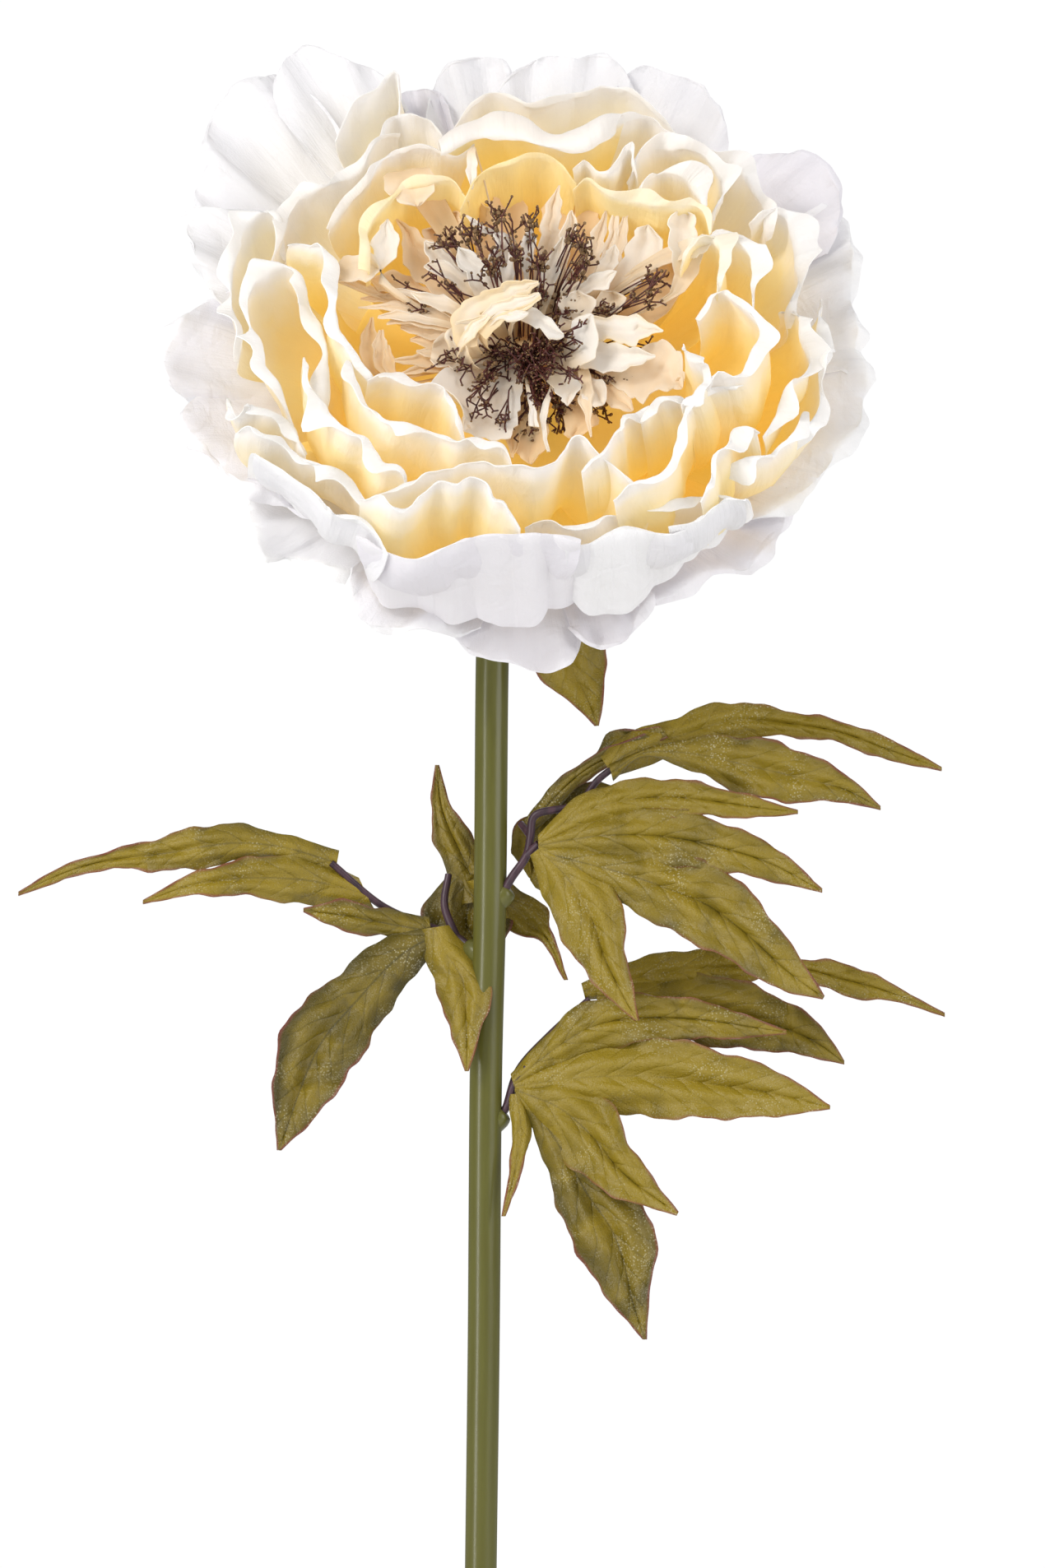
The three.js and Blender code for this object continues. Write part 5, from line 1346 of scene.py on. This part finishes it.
def stamen_tree(filament: Material, anther: Material) -> Tree:
    """Geometry nodes that turn thin lines into filaments and put a grainy anther on each marked point.

    Args:
        filament: finish of the lines.
        anther: finish of the anthers.

    Returns:
        The node tree, with inputs for the filament's radius, the anther's radius and the seed.
    """
    tree = bpy.data.node_groups.new("stamen_maker", "GeometryNodeTree")
    tree.interface.new_socket("Geometry", in_out="INPUT", socket_type="NodeSocketGeometry")
    for name, kind, value in (("Filament Radius", "NodeSocketFloat", 0.0003),
                              ("Anther Radius", "NodeSocketFloat", 0.0008), ("Seed", "NodeSocketInt", 5)):
        tree.interface.new_socket(name, in_out="INPUT", socket_type=kind).default_value = value
    tree.interface.new_socket("Geometry", in_out="OUTPUT", socket_type="NodeSocketGeometry")
    n = Nodes(tree)
    given = n.new("NodeGroupInput").outputs
    lines = n.new("GeometryNodeMeshToCurve", {"Mesh": given["Geometry"]})
    ring = n.new("GeometryNodeCurvePrimitiveCircle", {"Resolution": 5, "Radius": given["Filament Radius"]})
    tube = n.new("GeometryNodeCurveToMesh", {
        "Curve": lines.outputs[0], "Profile Curve": ring.outputs[0], "Fill Caps": True})
    paint = n.new("GeometryNodeSetMaterial", {"Geometry": tube.outputs[0], "Material": filament})
    ball = n.new("GeometryNodeMeshIcoSphere", {"Subdivisions": 1, "Radius": given["Anther Radius"]})
    marked = n.new("GeometryNodeInputNamedAttribute", {"Name": "anther"}, data_type="FLOAT").outputs[0]
    chosen = n.new("FunctionNodeCompare", {0: marked, 1: 0.05}, data_type="FLOAT", operation="GREATER_THAN")
    turn = n.new("FunctionNodeRandomValue", {1: (ROUND,) * 3, "Seed": given["Seed"]},
                 data_type="FLOAT_VECTOR")
    place = n.new("GeometryNodeInstanceOnPoints", {
        "Points": given["Geometry"], "Selection": chosen.outputs[0], "Instance": ball.outputs[0],
        "Rotation": turn.outputs[0], "Scale": marked})
    cover = n.new("GeometryNodeSetMaterial", {"Geometry": place.outputs[0], "Material": anther})
    join = n.new("GeometryNodeJoinGeometry", {0: paint.outputs[0]})
    n.feed(join, {0: cover.outputs[0]})
    real = n.new("GeometryNodeRealizeInstances", {0: join.outputs[0]})
    n.new("NodeGroupOutput", {0: real.outputs[0]})
    return tree


def grow(host: Thing, tree: Tree, inputs: dict[str, float]) -> Thing:
    """Runs a node tree on a host object and keeps the result as a plain mesh.

    Args:
        host: the object the tree starts from; it is removed.
        tree: the geometry nodes.
        inputs: values by input name.

    Returns:
        A new object with the result.
    """
    modifier = host.modifiers.new("maker", "NODES")
    modifier.node_group = tree
    for item in tree.interface.items_tree:
        if item.in_out == "INPUT" and item.name in inputs:
            modifier[item.identifier] = inputs[item.name]
    depsgraph = bpy.context.evaluated_depsgraph_get()
    mesh = bpy.data.meshes.new_from_object(host.evaluated_get(depsgraph))
    name = host.name
    bpy.data.objects.remove(host)
    mesh.name = name
    return linked(name, mesh)


@dataclass
class Stamens:
    """Forked dark filaments in clusters, with grainy anthers. The radii are in metres."""

    filament_radius: float = 0.00022
    anther_radius: float = 0.0007
    seed: int = 9
    forks: int = 3
    tips: int = 2

    def lines(self) -> tuple[np.ndarray, list[tuple[int, int]], np.ndarray]:
        """Lays out the filament lines.

        Returns:
            Points in the part's frame, edges between them, and an anther size for each point.
        """
        draw = Draw(self.seed)
        points: list[np.ndarray] = []
        edges: list[tuple[int, int]] = []
        sizes: list[float] = []

        def put(p: np.ndarray, size: float) -> int:
            """Adds a point and gives its number."""
            points.append(p)
            sizes.append(size)
            return len(points) - 1

        def jitter(scale: float) -> np.ndarray:
            """A drawn shift in all directions."""
            return scale * (np.array([draw.next(), draw.next(), draw.next()]) * 2 - 1)

        for x, z, height, spread, count, grains, bead in CLUSTERS:
            heart = np.array([x, behind(z, height), height])
            start = np.array([heart[0] * 0.35, heart[1] * 0.35, min(0.0, height - 8)])
            heads = []
            for _ in range(count):
                head = heart + jitter(spread)
                root = start + jitter(1.5)
                bend = root + (head - root) * 0.55 + UP * (2 + 2 * draw.next()) + jitter(1.6)
                ids = [put(p, 0.0) for p in smooth(np.array([root, bend, head]), 5)]
                edges.extend(zip(ids[:-1], ids[1:]))
                way = unit(head - bend)
                heads.append(head)
                for _fork in range(self.forks):
                    twig = head + (way + jitter(1.1)) * (1.2 + 1.2 * draw.next())
                    fork = put(twig, 0.0)
                    edges.append((ids[-1], fork))
                    for _tip in range(self.tips):
                        point = twig + (way * 0.6 + jitter(1.1)) * (0.8 + 0.6 * draw.next())
                        edges.append((fork, put(point, (0.4 + 0.35 * draw.next()) * (0.35 + 0.65 * bead))))
            for number in range(grains):
                near = heads[number % len(heads)]
                put(near + jitter(1.2), (0.55 + 0.5 * draw.next()) * (0.5 + 0.5 * bead))
        return to_world(np.array(points)), edges, np.array(sizes)

    def build(self, filament: Material, anther: Material) -> None:
        """Builds all stamens as one piece."""
        points, edges, sizes = self.lines()
        mesh = bpy.data.meshes.new("stamen_cluster")
        mesh.from_pydata((points * MM).tolist(), edges, [])
        layer = mesh.attributes.new("anther", "FLOAT", "POINT")
        layer.data.foreach_set("value", sizes.astype(np.float32))
        piece = grow(linked("stamen_cluster", mesh), stamen_tree(filament, anther), {
            "Filament Radius": self.filament_radius, "Anther Radius": self.anther_radius, "Seed": self.seed})
        mount(piece, "stamen_brown", "stamens")


# ---------------------------------------------------------------- stem, calyx and leaves

@dataclass(frozen=True)
class Lobe:
    """One leaf lobe, seen from the front, between its two edges, with depths from its base to its tip."""

    left: Line
    right: Line
    depth: tuple[float, ...]


# Rows along a lobe: how many millimetres one takes, the fewest and the most; and points across it.
LOBE_ROW = 1.2
LOBE_ROWS = (12, 80)
LOBE_COLUMNS = 25
# How broad the red edge of a leaf is, in millimetres.
RED = 0.55
# Lengths of a leaf's teeth, of the waves of its sides and its middle, and of the fine ones at its edge.
TEETH, SIDE_WAVE, MIDDLE_WAVE, EDGE_WAVE = 2.3, 19, 27, 1.4


def lobe_grid(lobe: Lobe, fold: float, draw: Draw) -> tuple[np.ndarray, Painted]:
    """Lofts a leaf lobe, creased along its midrib, with its edges tucked under its neighbours at the base.

    Args:
        lobe: its edges and depths.
        fold: how deep the midrib lies, as a share of the half width.
        draw: the source of its waves.

    Returns:
        Mid-surface points in the part's frame and the painted values of each.
    """
    size = line_length(lobe.left)
    steps = int(np.clip(size / LOBE_ROW, *LOBE_ROWS))
    left = smooth(lobe.left, steps)
    right = smooth(lobe.right, steps)
    depth = smooth(list(enumerate(lobe.depth)), steps)[:, 1][:, None]
    t = np.linspace(0, 1, steps + 1)[:, None]
    v = np.linspace(-1, 1, LOBE_COLUMNS)[None, :]
    side = np.abs(v)
    half = np.linalg.norm(right - left, axis=1)[:, None] / 2
    teeth = np.sin(size * t / TEETH + ROUND * draw.next() + 2 * v) + 0.4 * np.sin(size * t + 9 * v)
    rough = 0.5 * np.sin(np.pi * t) * teeth
    share = (v * (1 + side ** 3 * rough / np.maximum(half, 3)) + 1) / 2
    flat = left[:, None] + (right - left)[:, None] * share[..., None]
    groove = np.exp(-(side / 0.16) ** 2)
    lifted = np.clip((t - 0.25) / 0.35, 0, 1)
    y = depth + fold * half * ((1 - side) ** 1.3 * lifted + 0.35 * groove)
    y = y + 0.55 * half * side ** 2 * (1 - lifted)
    y = y - 0.07 * half * np.sin(np.pi * t) * np.cos(3.2 * np.pi * side + 2.5 * t + 3 * draw.next())
    wave = 0.8 * side ** 1.5 * np.sin(2 * np.pi * (size * t / SIDE_WAVE + draw.next()) + v)
    wave = wave + 0.5 * np.sin(2 * np.pi * (size * t / MIDDLE_WAVE + draw.next()))
    wave = wave + 0.25 * side * np.sin(size * t / EDGE_WAVE + 5 * v)
    y = y + wave * np.minimum(1.0, half / 4) * np.minimum(1, 3 * t)
    margin = np.clip((side - 1 + RED / np.maximum(half, 0.6)) * half / RED, 0, 1)
    margin = margin * np.clip((t - 0.3) / 0.3, 0, 1)
    return np.stack([flat[..., 0], y, flat[..., 1]], axis=-1), {
        "margin": margin, "along": t * size, "side": side, "spread": side * half, "tint": draw.next()}


# The long leaf that hangs from the calyx. Points of leaves are x and z of the part's frame.
BRACT = Lobe(
    ((13, 508), (13, 488), (12, 465), (12, 452), (16, 441), (22, 437), (29.4, 430)),
    ((22, 507), (28, 490), (32, 466), (32.2, 448), (31.6, 437), (30.4, 430)),
    (-5.3, -1, 4, 4, 1, -4))

# Middle line of the stem, from inside the vase up to the calyx.
STEM_PATH = (
    (-2, -5, 9.4), (-0.6, -3.4, 100), (0, -2, 190), (1, -0.6, 271), (1.6, 0.8, 342), (2.6, 1.8, 385),
    (3.2, 6.5, 447), (3.8, 9.5, 466), (4.9, 11, 480), (6.6, 10.6, 491), (8.6, 7.6, 500), (10.3, 3.6, 506.5),
    (11.4, 0.9, 510.2))

# Where each leaf socket sits on the stem, and which way it points.
SOCKETS = (
    ((5.2, 1.6, 386), (0.75, -0.15, 0.65)),
    ((4.0, 0.9, 329), (0.75, -0.1, 0.65)),
    ((-1, 3.4, 372), (-0.7, 0.5, 0.5)))

# Each stalk's main line and its branches.
STALKS = {
    "petiole_left": (
        ((-1, 3.4, 372), (-6, 6, 376), (-14, 7, 379), (-25, 7, 384), (-38, 6, 395)),
        ((-6, 6, 376), (-9, 8, 384), (-8, 10, 392)),
    ),
    "petiole_upper_right": (
        ((5.2, 1.6, 386), (8, -0.5, 391), (12, -1, 397), (13, -1, 402), (14, -1, 407), (25, -2, 410),
         (30, -3, 416), (35, -4, 420)),
        ((12, -1, 397), (15, -3, 400)),
        ((13, -1, 402), (10.5, 3, 405)),
    ),
    "petiole_lower_right": (
        ((4, 0.9, 329), (7, 0, 333), (8.5, -1, 338), (12, -2, 343)),
        ((7, 0, 333), (10, 4, 342), (18, 7, 351), (28, 9, 360)),
    ),
}

# Each leaflet's lobes.
LEAFLETS = {
    "leaf_left_long": (
        Lobe(((-37, 392), (-53, 396), (-77, 393), (-97, 393), (-118, 386.5)),
            ((-36, 398), (-53, 403), (-66, 405), (-87, 400), (-107, 394), (-118, 387.5)), (6, 3, 4, 9)),
        Lobe(((-27, 383), (-43, 384), (-60, 386.5), (-74, 386.5), (-86, 384.5)),
            ((-31, 391), (-45, 397), (-60, 396), (-74, 392), (-86, 385.5)), (6, 2, 0, 2)),
    ),
    "leaf_left_low": (
        Lobe(((-12, 374), (-24, 376), (-36, 378), (-45, 382.5)),
            ((-13, 381), (-26, 383.5), (-34, 385.5), (-45, 383.5)), (4, 2, 1)),
        Lobe(((-13, 379), (-24, 376), (-38, 365), (-49, 355), (-52.5, 340), (-51.5, 322)),
            ((-10, 374), (-17, 366), (-24, 356), (-32, 343), (-42, 330), (-50.5, 322)), (3, -4, -12, -14)),
        Lobe(((-15, 378), (-14.5, 371), (-11, 364), (-9.5, 357), (-7, 351), (-3.8, 342)),
            ((-8, 379), (-5, 375), (0, 370), (3, 363), (1, 354), (-2.8, 342)), (2, -4, -7, -8)),
    ),
    "leaf_behind": (
        Lobe(((-8, 384), (-9, 394), (-12, 402), (-12.5, 410), (-11.5, 420)),
            ((8, 386), (2, 395), (-2, 402), (-7, 409), (-10.5, 420)), (11, 13, 14, 16)),
        Lobe(((-8, 392), (-14, 384), (-15, 378), (-8, 374)),
            ((6, 392), (8, 386), (8, 379), (6, 374)), (12, 11.5, 11)),
        Lobe(((-4, 390), (2, 383), (9, 376.5), (15, 375.5), (21.5, 365)),
            ((4, 392), (12, 387), (17, 383), (18.5, 378), (22.5, 365)), (11, 10, 9, 8)),
    ),
    "leaf_upper_long": (
        Lobe(((34, 417), (43, 420), (56, 424), (70, 427), (90, 426), (103, 421.5), (118, 418.5)),
            ((31, 422), (36, 427), (50, 432), (62, 436), (78, 434), (96, 430), (108, 425), (118, 419.5)),
                (-4, -5, -4, -2, 4)),
        Lobe(((34, 416), (41, 422), (52, 419.5), (67, 412.5), (80, 410.5), (92, 410.5), (102, 408.5)),
            ((33, 420), (44, 424.5), (56, 427), (70, 427), (82, 423.5), (94, 417), (102, 409.5)),
                (-5, -9, -12, -14, -12)),
        Lobe(((11, 405), (17, 413), (25, 420), (32, 424), (42, 428)),
            ((14, 403), (20, 409), (29, 417.5), (38, 421.5), (48, 424)), (4, 4, 3, -1, -4.6)),
        Lobe(((30, 423), (33, 428), (37, 429), (46, 429.8)),
            ((31, 420), (36, 422), (42, 424), (48, 427)), (2.5, 0, -4.6)),
    ),
    "leaf_upper_broad": (
        Lobe(((15, 399), (28, 404), (44, 407), (58, 407), (70, 406.5), (81, 407.5)),
            ((15, 402), (24, 411), (33, 415), (48, 416.5), (64, 413.5), (81, 408.5)),
                (-4, -9, -13, -14, -12)),
        Lobe(((15, 398), (32, 396), (48, 394), (64, 392.5), (76, 390), (87, 387.5)),
            ((15, 401), (32, 408), (50, 409), (66, 403.5), (76, 398.5), (87, 388.5)),
                (-4, -11, -17, -20, -20)),
        Lobe(((14, 396), (24, 390), (37, 384), (50, 377), (64, 370), (76, 363), (87, 360.5)),
            ((16, 400), (32, 400), (50, 397), (63, 393), (71, 385), (80, 373), (87.5, 361.5)),
                (-4, -11, -17, -22, -26)),
        Lobe(((13, 397), (17, 385), (24, 371), (33, 360.5), (39.5, 355)),
            ((17, 400), (28, 396), (36, 386), (37, 374), (38.5, 366), (40.5, 355)), (-4, -10, -15, -20)),
    ),
    "leaf_upper_back": (
        Lobe(((12, 399), (9, 396.5), (7.8, 400), (9, 405), (14, 407.5)),
            ((13, 393), (15, 388), (18, 390), (21, 396), (24, 402)), (6.6, 7, 7, 7)),
        Lobe(((12, 401), (14, 406), (22, 414), (30, 416)),
            ((18, 396), (24, 402), (31, 408), (38, 413)), (7, 7, 6, 5)),
    ),
    "leaf_lower_broad": (
        Lobe(((9, 337), (22, 344), (38, 349), (51, 350), (66, 350.5), (78, 351.5)),
            ((8, 341), (18, 352), (27, 359.5), (42, 361.5), (58, 359.5), (78, 352.5)),
                (-2, -8, -12, -14, -14)),
        Lobe(((9, 336), (24, 333), (40, 330.5), (58, 330), (74, 330.5), (89, 332.5)),
            ((9, 340), (26, 348), (44, 351), (60, 347.5), (76, 342), (89, 333.5)), (-2, -9, -14, -18, -20)),
        Lobe(((9, 335), (14, 327), (24, 317), (36, 309.5), (45, 307), (50, 305.5)),
            ((10, 339), (24, 341), (34, 333), (38, 324), (44, 315), (50.5, 306.5)),
                (-2, -10, -15, -18, -20)),
        Lobe(((10, 335), (14, 326), (18, 314), (21, 304), (26, 294), (32, 285), (41.5, 274)),
            ((12, 337), (24, 326), (34, 315), (43, 306), (45, 297), (43, 284), (42.5, 274)),
                (-2, -8, -13, -16, -18)),
        Lobe(((7.6, 336), (8, 328), (8, 320), (5.6, 305)),
            ((11, 336), (13, 327), (10.5, 316), (6.6, 305)), (-2, -5, -7, -8)),
    ),
    "leaf_lower_back": (
        Lobe(((27, 360), (40, 361), (58, 363), (80, 366), (93, 361), (108, 359), (119, 355.5)),
            ((26, 364), (38, 369.5), (52, 372.5), (75, 371), (96, 368.5), (108, 362.5), (119, 356.5)),
                (9, 9, 8, 8, 12)),
        Lobe(((30, 359), (42, 353), (60, 348), (74, 347), (84, 345.5), (93, 343.5)),
            ((30, 363), (46, 366), (62, 366), (76, 361), (87, 353.5), (93, 344.5)), (9, 5, 1, -1, 0)),
    ),
}


@dataclass
class Stem:
    """The stem with its leaf sockets, and the calyx under the bloom."""

    radius: float = 4.1
    socket: float = 3.0
    sepals: int = 4
    leaf: float = 0.45
    seed: int = 77
    disc: Line = ((0, -23), (6, -23), (10, -22), (12.4, -20.6), (14, -18.5), (0, -18.5))

    def build(self, green: Material, leaf: Material) -> None:
        """Builds the stem and the calyx."""
        patch = Patch()
        path = smooth(STEM_PATH, 150)
        patch.rod(path, self.radius * (0.95 + 0.09 * (path[:, 2] / 500)), 32)
        steps = np.array([-2.0, 0.0, 1.5, 2.6, 3.2, 3.4])
        radii = self.socket * np.array([1.0, 1.0, 0.97, 0.85, 0.7, 0.5])
        for centre, way in SOCKETS:
            patch.rod(np.array(centre) + steps[:, None] * unit(np.array(way)), radii, 20)
        mount(patch.build("green_stem", green), "stem_green", "stem")
        draw = Draw(self.seed)
        calyx = Patch()
        plain = {"margin": 0.0, "along": 3.0, "side": 0.5, "spread": 5.0, "tint": 0.5}
        calyx.turned(self.disc, 40, plain, in_bloom=True)
        grid, values = lobe_grid(BRACT, 0.18, draw)
        calyx.blade(grid, self.leaf, values)
        for k in range(self.sepals):
            grid, values = self.sepal(math.pi * (0.12 + 2 * k / self.sepals))
            calyx.blade(grid, self.leaf, values | {"tint": draw.next()})
        mount(calyx.build("calyx_leaves", leaf), "leaf_olive", "calyx")

    def sepal(self, turn: float) -> tuple[np.ndarray, Painted]:
        """Lofts one short sepal under the petals; returns its points and painted values."""
        t = np.linspace(0, 1, 16)[:, None]
        v = np.linspace(-1, 1, 13)[None, :]
        side = np.abs(v)
        half = np.maximum(0.6, 9 * np.sin(np.pi * (0.25 + 0.72 * t)))
        r = 9 + 26 * t
        z = -20.6 + 0.5 * t + 0.5 * t * t + 0.04 * side * half
        x = r * math.cos(turn) - v * half * math.sin(turn)
        y = r * math.sin(turn) + v * half * math.cos(turn)
        margin = np.clip((side - 0.8) / 0.2, 0, 1)
        return to_world(np.stack([x, y, z], axis=-1)), {
            "margin": margin, "along": 26 * t, "side": side, "spread": side * half}


@dataclass
class Leaves:
    """The three compound leaves: stalks and lobed leaflets."""

    stalk: float = 1.05
    leaf: float = 0.45
    seed: int = 23

    def build(self, plum: Material, cloth: Material) -> None:
        """Builds every stalk and leaflet as a piece of its own."""
        for name, branches in STALKS.items():
            patch = Patch()
            for branch in branches:
                path = smooth(branch, 10 * len(branch))
                patch.rod(path, self.stalk * (1.1 - 0.25 * np.linspace(0, 1, len(path))), 14)
            mount(patch.build(name + "_stalk", plum), "petiole_plum", name)
        draw = Draw(self.seed)
        for name, lobes in LEAFLETS.items():
            patch = Patch()
            for lobe in lobes:
                grid, values = lobe_grid(lobe, 0.22, draw)
                patch.blade(grid, self.leaf, values)
            mount(patch.build(name + "_cloth", cloth), "leaf_olive", name)


@dataclass
class Vase:
    """The plain bottle-shaped bud vase."""

    height: float = 190
    foot: float = 27
    belly: float = 41
    neck: float = 12
    lip: float = 15.5
    wall: float = 4
    floor: float = 9

    def profile(self) -> np.ndarray:
        """Radius and height from the middle of the foot, up the outside, and down the inside."""
        h, b, k, w = self.height, self.belly, self.neck, self.wall
        outer = [(self.foot, 1.5), (b * 0.83, 14), (b * 0.96, 32), (b, 50), (b * 0.96, 67), (b * 0.83, 85),
                 (b * 0.62, 102), (b * 0.43, 117), (k * 1.12, 131), (k, 145), (k * 0.97, 160),
                 (k * 1.04, 174), (self.lip * 0.94, h - 4), (self.lip, h - 1.5)]
        inner = [(self.lip - 2.4, h - 0.4), (self.lip - 4.2, h - 6), (k * 0.97 - w, 165), (k - w, 145),
                 (b * 0.43 - w, 115), (b * 0.8 - w, 84), (b - w, 50), (b * 0.83 - w, 18),
                 (b * 0.5, self.floor)]
        return np.vstack([[(0, 0), (self.foot - 1.5, 0)], smooth(outer, 90), [(self.lip - 1, h)],
                          smooth(inner, 60), [(0, self.floor)]])

    def build(self, glaze: Material) -> None:
        """Builds the vase."""
        patch = Patch()
        patch.turned(self.profile(), 96)
        mount(patch.build("glazed_vase", glaze, sharp=35.0), "vase_glaze", "bud_vase")


# ---------------------------------------------------------------- stage

@dataclass
class Studio:
    """White room, soft lights, pale floor and the camera in front. Sizes and places in metres."""

    distance: float = 4.0
    picture_height: float = 0.40026
    sensor: float = 36.0
    centre: tuple[float, float] = (0.01092, 0.41513)
    lit: Colour = (0.01, 0.0, 0.45)
    floor: Line = ((0, -2), (2400, -2), (2400, -0.2), (0, -0.2))

    def light(self, name: str, place: Colour, size: tuple[float, float], power: float,
              colour: Colour = (1.0, 1.0, 1.0)) -> None:
        """Adds a soft light that faces the bloom; size is its width and height."""
        lamp = bpy.data.lights.new(name, "AREA")
        lamp.shape = "RECTANGLE"
        lamp.size, lamp.size_y = size
        lamp.energy = power
        lamp.color = colour
        piece = linked(name, lamp)
        piece.location = place
        aim = np.array(self.lit) - np.array(place)
        yaw = math.atan2(aim[1], aim[0])
        pitch = math.acos(aim[2] / float(np.linalg.norm(aim)))
        piece.rotation_euler = (math.pi - pitch, 0, yaw - math.pi / 2)

    def room(self) -> None:
        """Builds the white world, dimmer where glossy surfaces mirror it than where the camera sees it."""
        world = bpy.data.worlds.new("white_room")
        bpy.context.scene.world = world
        world.use_nodes = True
        n = Nodes(world.node_tree)
        seen = n.new("ShaderNodeLightPath").outputs
        strength = n.plus(0.5, n.times(seen["Is Camera Ray"], 0.52))
        strength = n.less(strength, n.times(seen["Is Glossy Ray"], 0.25))
        n.feed(n.first("BACKGROUND"), {"Color": (1, 1, 1), "Strength": strength})

    def ground(self) -> None:
        """Builds the floor, which brightens to the white of the room away from the vase."""
        patch = Patch()
        patch.turned(self.floor, 96)
        material, n, shader = start_material("pale_floor")
        reach = n.new("ShaderNodeVectorMath", {0: n.place()}, operation="LENGTH").outputs["Value"]
        glow = n.ramp(n.times(reach, 0.4), ((0.3, (0.67,) * 3), (0.8, (1.0,) * 3)))
        n.feed(shader, {"Base Color": (0.3, 0.3, 0.3), "Roughness": 0.9, "Specular IOR Level": 0.1,
                        "Emission Color": glow, "Emission Strength": 0.9})
        patch.build("floor", material)

    def camera(self) -> None:
        """Sets the camera level in front, so far off that it sees nearly straight on."""
        lens = bpy.data.cameras.new("front")
        lens.sensor_width = self.sensor
        lens.lens = self.sensor * self.distance / self.picture_height
        lens.clip_end = 50.0
        camera = linked("front", lens)
        camera.location = (self.centre[0], -self.distance, self.centre[1])
        camera.rotation_euler = (math.pi / 2, 0, 0)
        bpy.context.scene.camera = camera

    def build(self) -> None:
        """Builds the world, the lights, the floor and the camera."""
        bpy.context.scene.view_settings.view_transform = "Standard"
        self.room()
        self.light("key", (-1.1, -1.2, 1.5), (0.7, 0.7), 18.0, (1.0, 0.99, 0.97))
        self.light("strip", (-1.2, -1.1, 0.3), (0.15, 1.0), 8.0)
        self.light("fill", (1.3, -1.0, 0.9), (1.1, 1.1), 11.0, (0.98, 0.98, 1.0))
        self.light("rim", (0.2, 1.4, 1.3), (1.0, 1.0), 5.0)
        self.ground()
        self.camera()


def main() -> None:
    """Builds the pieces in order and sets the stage."""
    logging.basicConfig(level=logging.INFO, format="%(message)s")
    groups = Groups(cloth_grain_group(), speck_and_glint_group(), vein_group())
    leaf = LEAF_CLOTH.build(groups)
    Vase().build(VASE_GLAZE.build(groups))
    Stem().build(STEM_PLASTIC.build(groups), leaf)
    Leaves().build(STALK_PLASTIC.build(groups), leaf)
    Bloom().petals(GUARD_CLOTH.build(groups), CUP_CLOTH.build(groups))
    Tuft().build(TUFT_CLOTH.build(groups))
    Stamens().build(FILAMENT_PLASTIC.build(groups), ANTHER_PLASTIC.build(groups))
    Studio().build()


if __name__ == "__main__":
    main()
